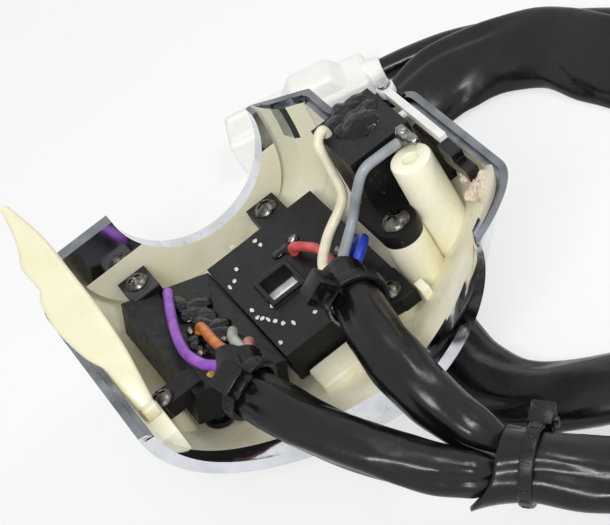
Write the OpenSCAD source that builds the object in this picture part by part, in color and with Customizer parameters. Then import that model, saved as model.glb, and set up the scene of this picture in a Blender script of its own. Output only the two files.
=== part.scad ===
// Left-hand handlebar switch cluster, opened: the half housing with its switch modules, leads and harness.
// Origin on the handlebar axis at the outer face of the seat wall, +Y along the bar, +Z out of the open side.

/* [Handlebar seat] */
// Radius of the half-round seat for a 25.4 mm handlebar
bar_r = 12.8; // [11:0.1:13.4]
// Thickness of the end wall that carries the seat
end_wall = 2.2; // [1.6:0.1:2.8]

/* [Housing] */
// Thickness of the moulded shell
wall = 1.9; // [1.4:0.1:2.2]
// Reach of the shell to the left of the bar axis
left_w = 28.5; // [28:0.5:34]
// Reach of the shell to the right of the bar axis
right_w = 31; // [30.5:0.5:36]
// Reach of the narrow neck beside the seat
neck_w = 21.4; // [20:0.2:23]
// Depth of the shell below the parting plane
depth = 23.2; // [23:0.2:28]
// Depth of the shell at the seat wall
far_depth = 17.6; // [16:0.2:19]
// Depth of the shell at the open end
near_depth = 19.5; // [18:0.2:21]
// Length of the shell from the seat wall to its right corner
shell_len = 54.4; // [53:0.2:60]
// Length of the left wall from the seat wall to the open end
left_len = 43.9; // [43:0.2:48]

/* [Switch modules] */
// Height of the dimmer module's top below the parting plane
dimmer_drop = 13; // [12:0.2:14]
// Tilt of the turn module, which follows the curve of the shell
turn_tilt = 22; // [18:1:26]
// Length of both modules along the bar
module_len = 26; // [24:0.5:27]
// Width of the turn module
turn_w = 14; // [13:0.2:14.6]
// Width of the dimmer module
dimmer_w = 19.2; // [18:0.2:20]
// Thickness of a module body
body_h = 5.2; // [5:0.1:5.6]
// Thickness of the plate that closes a module
cover_h = 0.8; // [0.6:0.1:1]

/* [Travel] */
// Turn slider travel each way
turn_travel = 4; // [3:0.5:4.5]
// Dimmer slider travel
dimmer_travel = 3; // [2:0.5:3.5]
// Horn button travel
horn_travel = 1.2; // [0.8:0.1:1.4]
// Pass trigger travel at the paddle
pass_travel = 0.6; // [0.4:0.1:0.8]

/* [Leads and harness] */
// Outer diameter of a single lead
lead_d = 1.5; // [1.2:0.1:1.8]
// Outer diameter of a branch sleeve
branch_d = 7.2; // [6:0.2:8]
// Outer diameter of the main harness sleeve
harness_d = 9.2; // [8:0.2:10]
// Outer diameter of the thin tube to the plug
tail_d = 4; // [3:0.2:5]

/* [Fasteners] */
// Head radius of a module screw
screw_head_r = 1.8; // [1.6:0.1:2.1]
// Shank radius of a module screw
screw_r = 0.9; // [0.8:0.05:1]

/* [Hidden] */
$fn = 48;
slip = 0.2;
tight = 0.02;
past = 1;
steps = 26;
slices = 16;
corner_cut = 6.7;
corner_len = 12;
shoulder_len = 5.6;
shoulder_lip = 0.8;
swell_from = 13;
swell_len = 9;
near_cut = 10.3;
near_corner_len = 10;
near_from = 26;
near_len = 20;
bowl = 28;
belly = 2.8;
left_belly = 2.1;
right_belly = 1.6;
belly_from = 30;
belly_len = 17;

module_far = -8;
module_near = module_far - module_len;
valley_x = -6;
valley_drop = dimmer_drop + 0.5;
valley_gap = 0.05;
dimmer_x = 0.4;
dimmer_y = -22.6;
window = [4.6, dimmer_travel + 2];
window_rail = [0.7, 1];
roof = 2.2;
turn_x = -turn_w / 2 - 0.4;
turn_y = module_far - (module_len - 5.3) / 2;
stem = [2.6, 3.6];
knob_gap = 0.5;
knob_h = 4;
lug_h = 2.4;
boss_r = 2.3;
plate_low = 0.4;
plate_top = 2.6;
plate_x = [right_w - 14.8, right_w - 4.8];
plate_y = [-29.2, -17.6];

ivory = "#e6e2c0";
black = "#1d1d1f";
brass = "#c9a24a";
steel = "#b9bcc0";
white = "#f1efe6";

function clip(u) = max(0, min(1, u));
function square_of(u) = clip(u) * clip(u);
function ease(u) = clip(u) * clip(u) * (3 - 2 * clip(u));
function unit(v) = v / norm(v);

// Outline of the shell at a distance a from the seat wall; k is 0 at the rim and 1 under the belly
function left_at(a) = left_w - corner_cut * square_of(1 - a / corner_len);
function right_at(a, k = 0) = neck_w - (neck_w - bar_r - shoulder_lip) * clip(1 - a / shoulder_len)
    + (right_w - neck_w) * ease((a - swell_from) / swell_len)
    - near_cut * square_of(1 - (shell_len - a) / (near_corner_len + bowl * k));
function depth_at(a) = depth - (depth - far_depth) * square_of(1 - a / corner_len)
    - (depth - near_depth) * ease((a - near_from) / near_len);
function belly_at(a, x) = belly - (belly - (x < 0 ? left_belly : right_belly)) * ease((a - belly_from) / belly_len);

// Point of the outer skin: t runs from the left rim (0) under the belly to the right rim (180)
function skin(a, t) = let (c = cos(t), k = max(0, sin(t)), e = 2 / belly_at(a, -c))
    [c >= 0 ? -left_at(a) * pow(c, e) : right_at(a, k) * pow(-c, e), -a, -depth_at(a) * pow(k, e)];
function inward(a, t) = unit(cross(skin(a + 0.1, t) - skin(a - 0.1, t), skin(a, t + 1) - skin(a, t - 1)));
function rim_inward(a, t) = let (d = skin(a + 0.1, t) - skin(a - 0.1, t), s = t < 90 ? 1 : -1)
    unit([-d[1] * s, d[0] * s, 0]);
function lining(a, t) = skin(a, t) + wall * (t == 0 || t == 180 ? rim_inward(a, t) : inward(a, t));
// Height of the skin under a point left of the bar axis, set in by a given thickness
function skin_z(x, y, inset) = let (a = -y, p = belly_at(a, x))
    -(depth_at(a) - inset) * pow(max(0, 1 - pow(min(1, abs(x) / (left_at(a) - inset)), p)), 1 / p);
// Reach of the right wall at a height z
function wall_x(y, z) = let (p = belly_at(-y, 1)) right_at(-y) * pow(1 - pow(-z / depth_at(-y), p), 1 / p);
// Distance from the tilted top of the turn module down to the skin, found by halving
function turn_reach(x, y, inset, low = 0, high = 24, n = 20) = n == 0 ? low :
    let (m = (low + high) / 2, p = turn_point(x, -m))
    p[1] > skin_z(p[0], y, inset) ? turn_reach(x, y, inset, m, high, n - 1) : turn_reach(x, y, inset, low, m, n - 1);
function turn_point(x, z) = [valley_x + x * cos(turn_tilt) + z * sin(turn_tilt),
    -valley_drop - x * sin(turn_tilt) + z * cos(turn_tilt)];

// Tube swept along a route, its rings carried along without twist; the tip may be pinched
function along(p, i, from, to) = i == 0 && from != undef ? from : i == len(p) - 1 && to != undef ? to :
    unit(p[min(i + 1, len(p) - 1)] - p[max(i - 1, 0)]);
function carried(s, t) = unit(s - (s * t) * t);
function sides_of(p, from, to) = let (t = along(p, 0, from, to), up = abs(t[2]) < 0.9 ? [0, 0, 1] : [0, 1, 0])
    [for (i = 0, s = unit(cross(t, up)); i < len(p); s = carried(s, along(p, i + 1, from, to)), i = i + 1) s];
function quad(a, b, c, d) = [[a, b, c], [a, c, d]];
module tube(p, r, n = 8, from = undef, to = undef, tip = undef) {
    s = sides_of(p, from, to);
    last = len(p) - 1;
    end = tip == undef ? r : tip;
    ring = [for (i = [0:last], k = [0:n - 1])
        let (t = along(p, i, from, to), u = cross(t, s[i]), b = 360 * k / n,
            w = i == last ? end : i == last - 1 ? (r + end) / 2 : r)
        p[i] + w * (cos(b) * s[i] + sin(b) * u)];
    walls = [for (i = [0:last - 1], k = [0:n - 1]) let (m = (k + 1) % n)
        each quad(i * n + k, i * n + n + k, i * n + n + m, i * n + m)];
    polyhedron(ring, concat([[for (k = [0:n - 1]) k]], walls, [[for (k = [n - 1:-1:0]) last * n + k]]));
}
// Smooth curve through a few chosen points
function bent(a, b, c, d, u) = 0.5 * (2 * b + (c - a) * u + (2 * a - 5 * b + 4 * c - d) * u * u
    + (3 * b - a - 3 * c + d) * u * u * u);
function flowing(p, cuts = 3) = concat([for (i = [0:len(p) - 2], k = [0:cuts - 1])
    bent(p[max(0, i - 1)], p[i], p[i + 1], p[min(len(p) - 1, i + 2)], k / cuts)], [p[len(p) - 1]]);
// Turns children so that their Z axis points along d
module facing(d) rotate([0, acos(d[2] / norm(d)), atan2(d[1], d[0])]) children();

// Routes of the harness, from the branch sleeves to the plug
harness_route = [[6.2, -66.4, -20.8], [9.6, -70, -22.4], [14.6, -74.6, -25], [23, -80.5, -27.8], [34, -84, -28.4],
    [46, -82.5, -28.4], [59, -77, -28.4], [70, -68, -28.4], [77, -55, -28.4], [78, -40, -28.4], [73, -27, -28.4],
    [66, -16, -28.4], [62.4, -6, -28.4], [59.7, 3.2, -28.4], [53.8, 9.8, -28.4], [45.6, 13.2, -28.4],
    [36.7, 12.8, -28.4], [28.8, 8.7, -28.4], [24.2, 3.2, -28.4], [21.6, -4, -28.4], [19.6, -13, -28.4],
    [17, -23, -28.4], [14.4, -33, -28.4], [13.4, -43, -28.4], [16.4, -52, -28.4], [25, -60.6, -28.4],
    [36, -67, -28.4], [48, -67.4, -28.4], [57.6, -60.4, -28.4], [62, -50, -28.4]];
tail_route = [[62, -50, -28.4], [63.4, -46, -28], [66, -40.6, -24.6], [72, -37, -21.2], [80, -34.6, -21.2],
    [86.4, -30, -26], [86, -22, -29.6], [79, -12, -30.8], [73, -2, -30.8], [66.6, 8, -30.8], [59, 16.4, -30.8],
    [51.4, 21.4, -29.6], [44.3, 23.8, -28.6], [37.6, 26, -28.4]];
plug_turn = 160;
plug_from = tail_route[len(tail_route) - 1];
function heading(p, i) = unit(p[i + 1] - p[i]);
harness_way = heading(harness_route, 0);
harness_end = heading(harness_route, len(harness_route) - 2);
// Spot on the mouth of a sleeve, to the right and upward of its middle
function spot(p, right, up) = let (d = heading(p, 0), e = unit(cross([0, 0, 1], d))) p[0] + right * e + up * cross(d, e);
upper_route = [[6.6, -34.8, -7.6], [5.5, -40.6, -7.8], [4.3, -46.4, -8.6], [3.9, -51.4, -10.4], [4.3, -56.4, -13.4],
    [5.8, -61, -17.8], spot(harness_route, 2.3, 0)];
lower_route = [[-11.6, -36, -6.4], [-13, -41, -7], [-11.2, -47.4, -9.2], [-8.2, -53.8, -11.8], [-5, -58.8, -14.4],
    [-1.2, -63.4, -17.4], [2, -66.2, -19.6], spot(harness_route, -2.3, 0)];
// Leads, each from its foot on a switch to the mouth of its sleeve
turn_up = [sin(turn_tilt), 0, cos(turn_tilt)];
function turn_foot(x, y) = let (p = turn_point(x, 0)) [p[0], y, p[1]];
white_route = [[plate_x[0] + 1.2, -20.6, plate_top], [plate_x[0] + 0.7, -21, plate_top + 1.4], [plate_x[0] - 0.9, -21.8, 3],
    [plate_x[0] - 1.5, -23.6, -0.8], [plate_x[0] - 2.6, -25.6, -4], [9, -27, -6.4], [5.6, -31, -6.6], spot(upper_route, -1.7, 0.8)];
grey_route = [[plate_x[1] - 2.8, -30.2, 1.5], [plate_x[0] + 4.2, -30.2, 1.6], [plate_x[0] + 1, -30.3, 1.4],
    [plate_x[0] - 1.6, -30, -1.6], [plate_x[0] - 3.8, -30, -4.6],
    [9, -32.2, -6], spot(upper_route, 0.3, 1.6)];
red_route = [[5.1, -17.4, -dimmer_drop], [5.4, -18, -11.6], [7.4, -22.6, -10.8], [7.2, -28, -10], spot(upper_route, -0.7, -1.6)];
blue_route = [[10.6, -25.6, -dimmer_drop], [10.8, -26.2, -11.4], [plate_x[0] - 3.8, -30, -8.2],
    [plate_x[0] - 5.2, -32.8, -7], spot(upper_route, 2, 0.4)];
light_blue_route = [[9.4, -27.4, -dimmer_drop], [9.4, -28.2, -11.6], [9, -31, -9.8], spot(upper_route, 1.1, -1.4)];
purple_route = [turn_foot(-7.6, -11), turn_foot(-7.8, -11.4) + 1.2 * turn_up, [-15.2, -20, -7.8], [-16.4, -27, -7],
    [-15.6, -32, -6.6], spot(lower_route, -2.2, 0)];
orange_route = [turn_foot(-7.4, -21.4), turn_foot(-7.3, -22) + 1.3 * turn_up, [-12.4, -29, -7.4], spot(lower_route, -0.5, 1)];
silver_route = [turn_foot(-4.1, -24.8), turn_foot(-4.1, -25.4) + 1.3 * turn_up, [-10.2, -31, -7.2], spot(lower_route, 1.2, 1.4)];
pink_route = [turn_foot(-3, -28.4), turn_foot(-3.2, -28.9) + 1.2 * turn_up, [-9.2, -32.4, -8.4], spot(lower_route, 1.7, -0.6)];

// Rings of the housing loft
function stations(i) = shell_len * i / steps;
function turn_of(j) = 180 * j / slices;
outer_skin = [for (i = [0:steps], j = [0:slices]) skin(stations(i), turn_of(j))];
inner_skin = [for (i = [0:steps], j = [0:slices]) let (p = lining(max(end_wall, stations(i)), turn_of(j)))
    [p[0], i == 0 ? -end_wall : min(p[1], -end_wall - 0.2 * i), p[2]]];

module skin_wall() {
    n = slices + 1;
    q = (steps + 1) * n;
    last = steps * n;
    cells = [for (i = [0:steps - 1], j = [0:slices - 1]) i * n + j];
    polyhedron(concat(outer_skin, inner_skin), concat(
        [for (c = cells) each quad(c, c + n, c + n + 1, c + 1)],
        [for (c = cells) each quad(q + c, q + c + 1, q + c + n + 1, q + c + n)],
        [[for (j = [0:slices]) j]], [[for (j = [slices:-1:0]) q + j]],
        [for (i = [0:steps - 1]) each quad(i * n, q + i * n, q + i * n + n, i * n + n)],
        [for (i = [0:steps - 1]) let (c = i * n + slices) each quad(q + c, c, c + n, q + c + n)],
        quad(0, slices, q + slices, q),
        [for (j = [0:slices - 1]) each quad(last + j, q + last + j, q + last + j + 1, last + j + 1)]));
}
module skin_solid() {
    n = slices + 1;
    last = steps * n;
    polyhedron(outer_skin, concat(
        [for (i = [0:steps - 1], j = [0:slices - 1]) let (c = i * n + j) each quad(c, c + n, c + n + 1, c + 1)],
        [for (i = [0:steps - 1]) let (c = i * n) each quad(c + slices, c + slices + n, c + n, c)],
        [[for (j = [0:slices]) j]], [[for (j = [slices:-1:0]) last + j]]));
}

// Places of the module screws, each with the height of the lug under its head
turn_screws = [[-15.2, -5.4, -9]];
horn_screws = [[-22.8, -30.6, -8.2]];
dimmer_screws = [[6.6, -5, -dimmer_drop], [10.6, -36.4, -dimmer_drop]];
pass_screw_at = [right_w - 14.2, -34, -6];
cover_boss_at = [right_w - 8, -33.3, 0.6];
cover_boss_r = 3;
cover_pilot_r = 1.1;
cover_pilot_deep = 9;
module screw_boss(p, r) translate([p[0], p[1], -depth]) cylinder(r = r, h = depth + p[2] - lug_h);
module fittings() {
    for (p = concat(turn_screws, dimmer_screws)) screw_boss(p, boss_r);
    for (p = horn_screws) screw_boss(p, 1.6);
    screw_boss(pass_screw_at, pass_lug_r);
    translate([cover_boss_at[0], cover_boss_at[1], -depth]) cylinder(r = cover_boss_r, h = depth + cover_boss_at[2]);
    translate([cover_boss_at[0], cover_boss_at[1] - 0.6, -depth])
        cube([right_w - cover_boss_at[0], 1.2, depth - 13]);
    translate([-26.4, -40.6, -depth]) cube([2.8, 7.6, depth + guard_seat]);
    translate([-4.6, module_near - 5.4, -depth]) cube([8, 5, 6.2]);
    translate([9.4, -43, -depth]) cylinder(r = 2, h = 5);
    translate([13.6, -40.4, -depth]) cube([1.4, 2.4, depth - 13.2]);
}
module turn_frame() translate([valley_x, 0, -valley_drop]) rotate([0, turn_tilt, 0]) children();

horn_split = module_near + 5.3;
horn_split_x = -6.2;
horn_at = [-10.1, module_near + 2.65];
horn_hole_r = 1.5;
pass_lug_r = 3;
ear_h = 0.5;
pivot_at = [right_w - 3, -19.6];
pivot_r = 0.7;
arm_x = [right_w - 3.8, right_w - 2.7];
arm_low = plate_low + ear_h + 0.1;
arm_h = 1.6;
arm_end = 18.4 - shell_len;
trigger_x = [right_w - 4.6, right_w - 2.8];
trigger_end = 11.4 - shell_len;
guard_seat = -5.4;
pass_blade_y = -28.4;
pass_blade_z = -8.6;
blade = [4, 1.6];

module housing_shell() color(ivory) difference() {
    union() {
        skin_wall();
        intersection() {
            skin_solid();
            fittings();
        }
        translate([cover_boss_at[0], cover_boss_at[1], -2 * cover_boss_r])
            cylinder(r = cover_boss_r, h = 2 * cover_boss_r + cover_boss_at[2]);
    }
    translate([0, past, 0]) rotate([90, 0, 0]) cylinder(r = bar_r, h = end_wall + past + 0.4);
    translate([-left_w, -left_len, 0]) rotate([0, 0, -atan2(shell_len - left_len, left_w + right_w - near_cut)])
        translate([-20, -40, -2 * depth]) cube([120, 40, 3 * depth]);
    for (p = concat(turn_screws, horn_screws, dimmer_screws, [pass_screw_at]))
        translate([p[0], p[1], p[2] - lug_h - 4.5]) cylinder(r = screw_r + tight, h = 6);
    translate([cover_boss_at[0], cover_boss_at[1], cover_boss_at[2] - cover_pilot_deep])
        cylinder(r = cover_pilot_r, h = cover_pilot_deep + past);
    turn_frame() translate([turn_x - stem[0] / 2 - slip, turn_y - stem[1] / 2 - turn_travel - 2 * slip, -14])
        cube([stem[0] + 2 * slip, stem[1] + 2 * turn_travel + 4 * slip, 7]);
    translate([dimmer_x - stem[0] / 2 - slip, dimmer_y - stem[1] / 2 - 2 * slip, -depth - past])
        cube([stem[0] + 2 * slip, stem[1] + dimmer_travel + 4 * slip, wall + 2 * past]);
    turn_frame() translate([horn_at[0], horn_at[1], -14]) cylinder(r = horn_hole_r, h = 6.5);
    translate([right_w - 6, pass_blade_y - blade[0] / 2 - 2 * slip, pass_blade_z - blade[1] / 2 - slip])
        cube([10, blade[0] + 4 * slip, blade[1] + 2 * slip]);
    translate([right_w - 4, -36.4, -4.2]) cube([8, 8.6, 2.2]);
}

// Ivory tongue that stands on the left wall and keeps the leads off the bar
guard_rows = [[-26.2, -23.8, -34.4, -4.8], [-26.4, -23, -31.4, -1.6], [-26.5, -22.5, -28.8, 0.1], [-27.6, -22.2, -26.2, 1.7],
    [-28.4, -21.9, -21.4, 4.6], [-27.8, -21.9, -17.8, 7], [-26.9, -21.9, -16.4, 8], [-27, -21.9, -13.2, 10.2],
    [-25.8, -22.1, -11, 11.6], [-25, -22.6, -8.6, 13.2], [-24.4, -23.3, -6, 15]];
guard_h = 1.7;
module wire_guard() color(ivory) {
    translate([-26, -36.4, guard_seat]) cube([2.2, 3.2, 2]);
    n = len(guard_rows);
    ring = [for (r = guard_rows) each [[r[0], r[2], r[3]], [r[1], r[2], r[3]],
        [r[1], r[2] - guard_h * 0.55, r[3] + guard_h * 0.83], [r[0], r[2] - guard_h * 0.55, r[3] + guard_h * 0.83]]];
    polyhedron(ring, concat([[3, 2, 1, 0]], [[for (k = [0:3]) 4 * (n - 1) + k]],
        [for (i = [0:n - 2], k = [0:3]) let (m = (k + 1) % 4)
            each quad(4 * i + k, 4 * i + m, 4 * i + 4 + m, 4 * i + 4 + k)]));
}

// Shared switch pieces
module lug(p, to, w, square_end = false) {
    if (square_end) translate([p[0] - w, p[1] - w, p[2] - lug_h]) cube([2 * w, 2 * w, lug_h]);
    else translate([p[0], p[1], p[2] - lug_h]) cylinder(r = w, h = lug_h);
    translate([min(p[0], to[0]) - (to[0] == p[0] ? w : 0), min(p[1], to[1]) - (to[1] == p[1] ? w : 0), p[2] - lug_h])
        cube([to[0] == p[0] ? 2 * w : abs(to[0] - p[0]), to[1] == p[1] ? 2 * w : abs(to[1] - p[1]), lug_h]);
}
module screw_holes(at) for (p = at) translate([p[0], p[1], p[2] - lug_h - past])
    cylinder(r = screw_r + 0.15, h = lug_h + 2 * past);
slider_len = 9;
slider_h = body_h - roof - 0.3;
module slider(w, rib) {
    translate([-w / 2, -slider_len / 2, -body_h + slip]) cube([w, slider_len, slider_h - slip]);
    translate([-stem[0] / 2, -stem[1] / 2, -body_h - rib]) cube([stem[0], stem[1], rib + 1]);
}
module slider_room(w, back, ahead) translate([-w / 2 - slip, -slider_len / 2 - back - slip, -body_h - past])
    cube([w + 2 * slip, slider_len + back + ahead + 2 * slip, body_h - roof + past]);
module stem_slot(back, ahead) translate([-stem[0] / 2 - slip, -stem[1] / 2 - back - slip, -body_h - cover_h - past])
    cube([stem[0] + 2 * slip, stem[1] + back + ahead + 2 * slip, cover_h + 2 * past]);

// Turn signal module
slider_w = 8;
turn_skin = max([for (x = [-4, 0, 4]) turn_reach(turn_x + x, turn_y, 0)]);
module turn_place() turn_frame() translate([turn_x, turn_y, 0]) children();
rivet_r = 1;
turn_rivets = [for (k = [-1:1]) [2.4, k * 3.2]];
module turn_base() color(black) difference() {
    union() {
        turn_frame() translate([-turn_w, horn_split, -body_h]) cube([turn_w - valley_gap, module_far - horn_split, body_h]);
        turn_frame() translate([horn_split_x, module_near, -body_h]) cube([-horn_split_x - valley_gap, module_len, body_h]);
        lug(turn_screws[0], [turn_screws[0][0], module_far - 1], 2.4, true);
    }
    turn_place() slider_room(slider_w, turn_travel, turn_travel);
    turn_place() for (p = turn_rivets) translate([p[0], p[1], -roof - past])
        cylinder(r = rivet_r, h = roof + 2 * past);
    screw_holes(turn_screws);
}
module rivet(r, h) {
    translate([0, 0, -h]) cylinder(r = r, h = h);
    cylinder(r = r + 0.3, h = 0.5);
}
module turn_rivet_set() color(brass) turn_place() for (p = turn_rivets) translate([p[0], p[1], 0]) rivet(rivet_r - tight, roof);
module turn_cover() color("#8a5a2b") turn_frame() difference() {
    translate([-turn_w + 1, horn_split + 0.4, -body_h - cover_h])
        cube([turn_w - valley_gap - 1.4, module_far - horn_split - 1, cover_h]);
    translate([turn_x, turn_y, 0]) stem_slot(turn_travel, turn_travel);
}
detent_r = 1.1;
module detent_bore() translate([-2.2, 0, -body_h + 0.6]) cylinder(r = detent_r + 0.05, h = body_h);
module turn_carrier() color(white) turn_place() difference() {
    slider(slider_w, turn_skin - body_h + knob_gap + knob_h - 1.2);
    detent_bore();
}
module detent_ball() translate([-2.2, 0, -roof - detent_r - 0.05]) sphere(r = detent_r);
module turn_detent() color(steel) turn_place() detent_ball();
bridge = [1.6, 6, 0.25];
module bridge_contact() translate([2.4 - bridge[0] / 2, -bridge[1] / 2, -roof - 0.3]) cube(bridge);
module turn_bridge() color(brass) turn_place() bridge_contact();
turn_knob_size = [8, 10, knob_h];
module knob_shape(size) difference() {
    union() {
        translate([-size[0] / 2, -size[1] / 2, -size[2] + 1.2]) cube([size[0], size[1], size[2] - 1.2]);
        translate([-size[0] / 2 + 1, -size[1] / 2 + 1, -size[2]]) cube([size[0] - 2, size[1] - 2, 2]);
        for (k = [-1:1]) translate([-size[0] / 2 + 1, k * 2.2 - 0.4, -size[2] - 0.5]) cube([size[0] - 2, 0.8, 1]);
    }
    translate([-stem[0] / 2 - tight, -stem[1] / 2 - tight, -size[2] + 1]) cube([stem[0] + 2 * tight, stem[1] + 2 * tight, size[2]]);
}
module turn_knob() color(black) turn_place() translate([0, 0, -turn_skin - knob_gap]) knob_shape(turn_knob_size);

// Dimmer module
module dimmer_place() translate([dimmer_x, dimmer_y, -dimmer_drop]) children();
dimmer_step = 2.2;
rib_size = [4.2, 1.7];
module dimmer_base() color(black) difference() {
    union() {
        translate([valley_x + valley_gap, module_near, -dimmer_drop - roof]) cube([dimmer_w, module_len, roof]);
        translate([valley_x + valley_gap, module_near, -dimmer_drop - body_h])
            cube([dimmer_w - dimmer_step, module_len - 1.2, body_h]);
        lug(dimmer_screws[0], [dimmer_screws[0][0], module_far - 1], 2.4, true);
        lug(dimmer_screws[1], [dimmer_screws[1][0], module_near + 1], 2.8);
        translate([dimmer_screws[1][0], module_near - 5.4, -dimmer_drop - lug_h]) cube([2.8, 6, lug_h]);
        dimmer_place() translate([-window[0] / 2 - window_rail[0], -rib_size[1] / 2 - window_rail[1], 0])
            cube([window[0] + 2 * window_rail[0], window[1] + 2 * window_rail[1] - 0.2, 0.6]);
    }
    dimmer_place() slider_room(slider_w, 0, dimmer_travel);
    dimmer_place() translate([-window[0] / 2, -rib_size[1] / 2 - 0.15, -roof - past]) cube([window[0], window[1], roof + 3 * past]);
    screw_holes(dimmer_screws);
}
module dimmer_cover() color("#8a5a2b") difference() {
    translate([valley_x + valley_gap + 0.8, module_near + 0.8, -dimmer_drop - body_h - cover_h])
        cube([dimmer_w - dimmer_step - 2.4, module_len - 3.6, cover_h]);
    dimmer_place() stem_slot(0, dimmer_travel);
}
module dimmer_carrier() color(white) dimmer_place() difference() {
    union() {
        slider(slider_w, depth - dimmer_drop - body_h + knob_gap + knob_h - 1.2);
        translate([-rib_size[0] / 2, -rib_size[1] / 2, -roof - 0.6]) cube([rib_size[0], rib_size[1], roof]);
    }
    dimmer_detent_bore();
}
module dimmer_detent_bore() translate([-3.2, -3, -body_h + 0.6]) cylinder(r = 0.75, h = body_h);
module dimmer_detent() color(steel) dimmer_place() translate([-3.2, -3, -roof - 0.75]) sphere(r = 0.7);
module dimmer_knob() color(black) translate([dimmer_x, dimmer_y, -depth - knob_gap]) knob_shape([9, 10, knob_h]);

// Horn switch at the near end of the turn module
horn_pocket_r = 2.2;
horn_flange_r = 2;
horn_flange_h = 0.8;
horn_cap = [3, 1.5];
horn_gap = 0.8;
horn_skin = max([for (k = [-1:1]) turn_reach(horn_at[0] + k * horn_cap[0], horn_at[1], 0)]);
horn_seat = min([for (k = [-1:1]) turn_reach(horn_at[0] + k * horn_flange_r, horn_at[1], wall)]) - 0.3;
horn_pocket_top = -1.6;
horn_pin_top = horn_pocket_top - 0.4 - horn_travel;
module horn_place() turn_frame() translate([horn_at[0], horn_at[1], 0]) children();
module horn_base() color(black) difference() {
    union() {
        turn_frame() translate([-turn_w, module_near, -body_h])
            cube([turn_w + horn_split_x, horn_split - module_near, body_h]);
        lug(horn_screws[0], [-17, horn_screws[0][1]], 1.9);
    }
    horn_place() translate([0, 0, -body_h - past]) cylinder(r = horn_pocket_r, h = body_h + past + horn_pocket_top);
    horn_place() translate([0, 0, -3]) cylinder(r = 0.8, h = 4);
    screw_holes(horn_screws);
}
module horn_button() color(black) horn_place() {
    translate([0, 0, -horn_seat]) cylinder(r = horn_flange_r, h = horn_flange_h);
    translate([0, 0, -horn_skin - horn_travel - horn_cap[1]])
        cylinder(r = horn_hole_r - slip, h = horn_skin + horn_travel + horn_cap[1] - horn_seat + 0.4);
    translate([0, 0, -horn_seat]) cylinder(r = 1, h = horn_seat + horn_pin_top);
    translate([0, 0, -horn_skin - horn_travel - horn_cap[1] - horn_gap]) cylinder(r = horn_cap[0], h = horn_cap[1]);
}
module horn_contact() color(brass) horn_place() translate([0, 0, horn_pocket_top - 0.3]) {
    cylinder(r = 0.8 - tight, h = 0.4 - horn_pocket_top);
    cylinder(r = 1.1, h = 0.3);
}
spring_r = 1.7;
spring_wire = 0.22;
spring_turns = 4;
module horn_spring() color(steel) horn_place() {
    low = -horn_seat + horn_flange_h + spring_wire + 0.05;
    high = horn_pocket_top - spring_wire - 0.05;
    n = spring_turns * 8;
    tube([for (i = [0:n]) [spring_r * cos(45 * i), spring_r * sin(45 * i), low + (high - low) * i / n]], spring_wire, 6);
}

// Pass switch: potted block on a bracket, with a hinged arm that carries the trigger
pass_low = -9;
plunger_y = -26;
plate_mid = (plate_low + plate_top) / 2;
module pass_base() color(black) difference() {
    union() {
        translate([plate_x[0], plate_y[0], plate_low]) cube([plate_x[1] - plate_x[0], plate_y[1] - plate_y[0], plate_top - plate_low]);
        translate([plate_x[0], plate_y[0], pass_low]) cube([6.4, 9.4, plate_low - pass_low]);
        translate([pass_screw_at[0] - pass_lug_r, pass_screw_at[1], pass_screw_at[2] - lug_h])
            cube([2 * pass_lug_r, plate_y[0] + 3 - pass_screw_at[1], lug_h]);
        translate([pass_screw_at[0], pass_screw_at[1], pass_screw_at[2] - lug_h]) cylinder(r = pass_lug_r, h = lug_h);
        translate([plate_x[1] - 1, plate_y[1] - 4, plate_low]) cube([pivot_at[0] + 1.6 - plate_x[1] + 1, 4, ear_h]);
    }
    translate([pivot_at[0], pivot_at[1], 0]) cylinder(r = pivot_r + tight, h = 4);
    translate([plate_x[1] - 2, plunger_y, plate_mid]) rotate([0, 90, 0]) cylinder(r = plunger_r + 0.05, h = 4);
    screw_holes([pass_screw_at]);
}
plunger_r = 0.6;
module pass_plunger() color(white) translate([plate_x[1] - 1.4, plunger_y, plate_mid]) rotate([0, 90, 0])
    cylinder(r = plunger_r, h = arm_x[0] - plate_x[1] + 1.4 - tight);
module pass_pivot_pin() color(steel) translate([pivot_at[0], pivot_at[1], plate_low]) {
    cylinder(r = pivot_r, h = 2.6);
    translate([0, 0, 2.5]) cylinder(r = pivot_r + 0.3, h = 0.3);
}
module pass_arm() color(white) difference() {
    union() {
        translate([arm_x[0], arm_end, arm_low]) cube([arm_x[1] - arm_x[0], pivot_at[1] - arm_end, arm_h]);
        translate([pivot_at[0], pivot_at[1], arm_low]) cylinder(r = 1.3, h = arm_h);
    }
    translate([pivot_at[0], pivot_at[1], 0]) cylinder(r = pivot_r + 0.05, h = 4);
}
// The trigger hangs from the arm, runs back under it and reaches through the wall to its paddle
paddle_h = 5;
paddle_x = wall_x(pass_blade_y, pass_blade_z + paddle_h / 2 - blade[1]) + pass_travel + slip;
hanger_z = -2.4;
module pass_trigger() color(black) {
    translate([trigger_x[0], trigger_end + 3.2, -1.6]) cube([trigger_x[1] - trigger_x[0], arm_end - trigger_end - 3.2, 3.4]);
    translate([trigger_x[0], trigger_end, -1.6]) cube([trigger_x[1] - trigger_x[0], 3.4, 2.2]);
    translate([trigger_x[0] + 0.6, arm_end - 1, hanger_z]) cube([1.2, pass_blade_y - arm_end + 1 + blade[0] / 2, 1.8]);
    translate([trigger_x[0] + 0.6, pass_blade_y - blade[0] / 2, pass_blade_z - blade[1] / 2])
        cube([1.2, blade[0], hanger_z - pass_blade_z + blade[1]]);
    translate([trigger_x[0] + 0.6, pass_blade_y - blade[0] / 2, pass_blade_z - blade[1] / 2])
        cube([paddle_x - trigger_x[0], blade[0], blade[1]]);
    translate([paddle_x, pass_blade_y - blade[0] / 2 - 1, pass_blade_z + blade[1] / 2 - paddle_h])
        cube([1, blade[0] + 2, paddle_h]);
}
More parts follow.
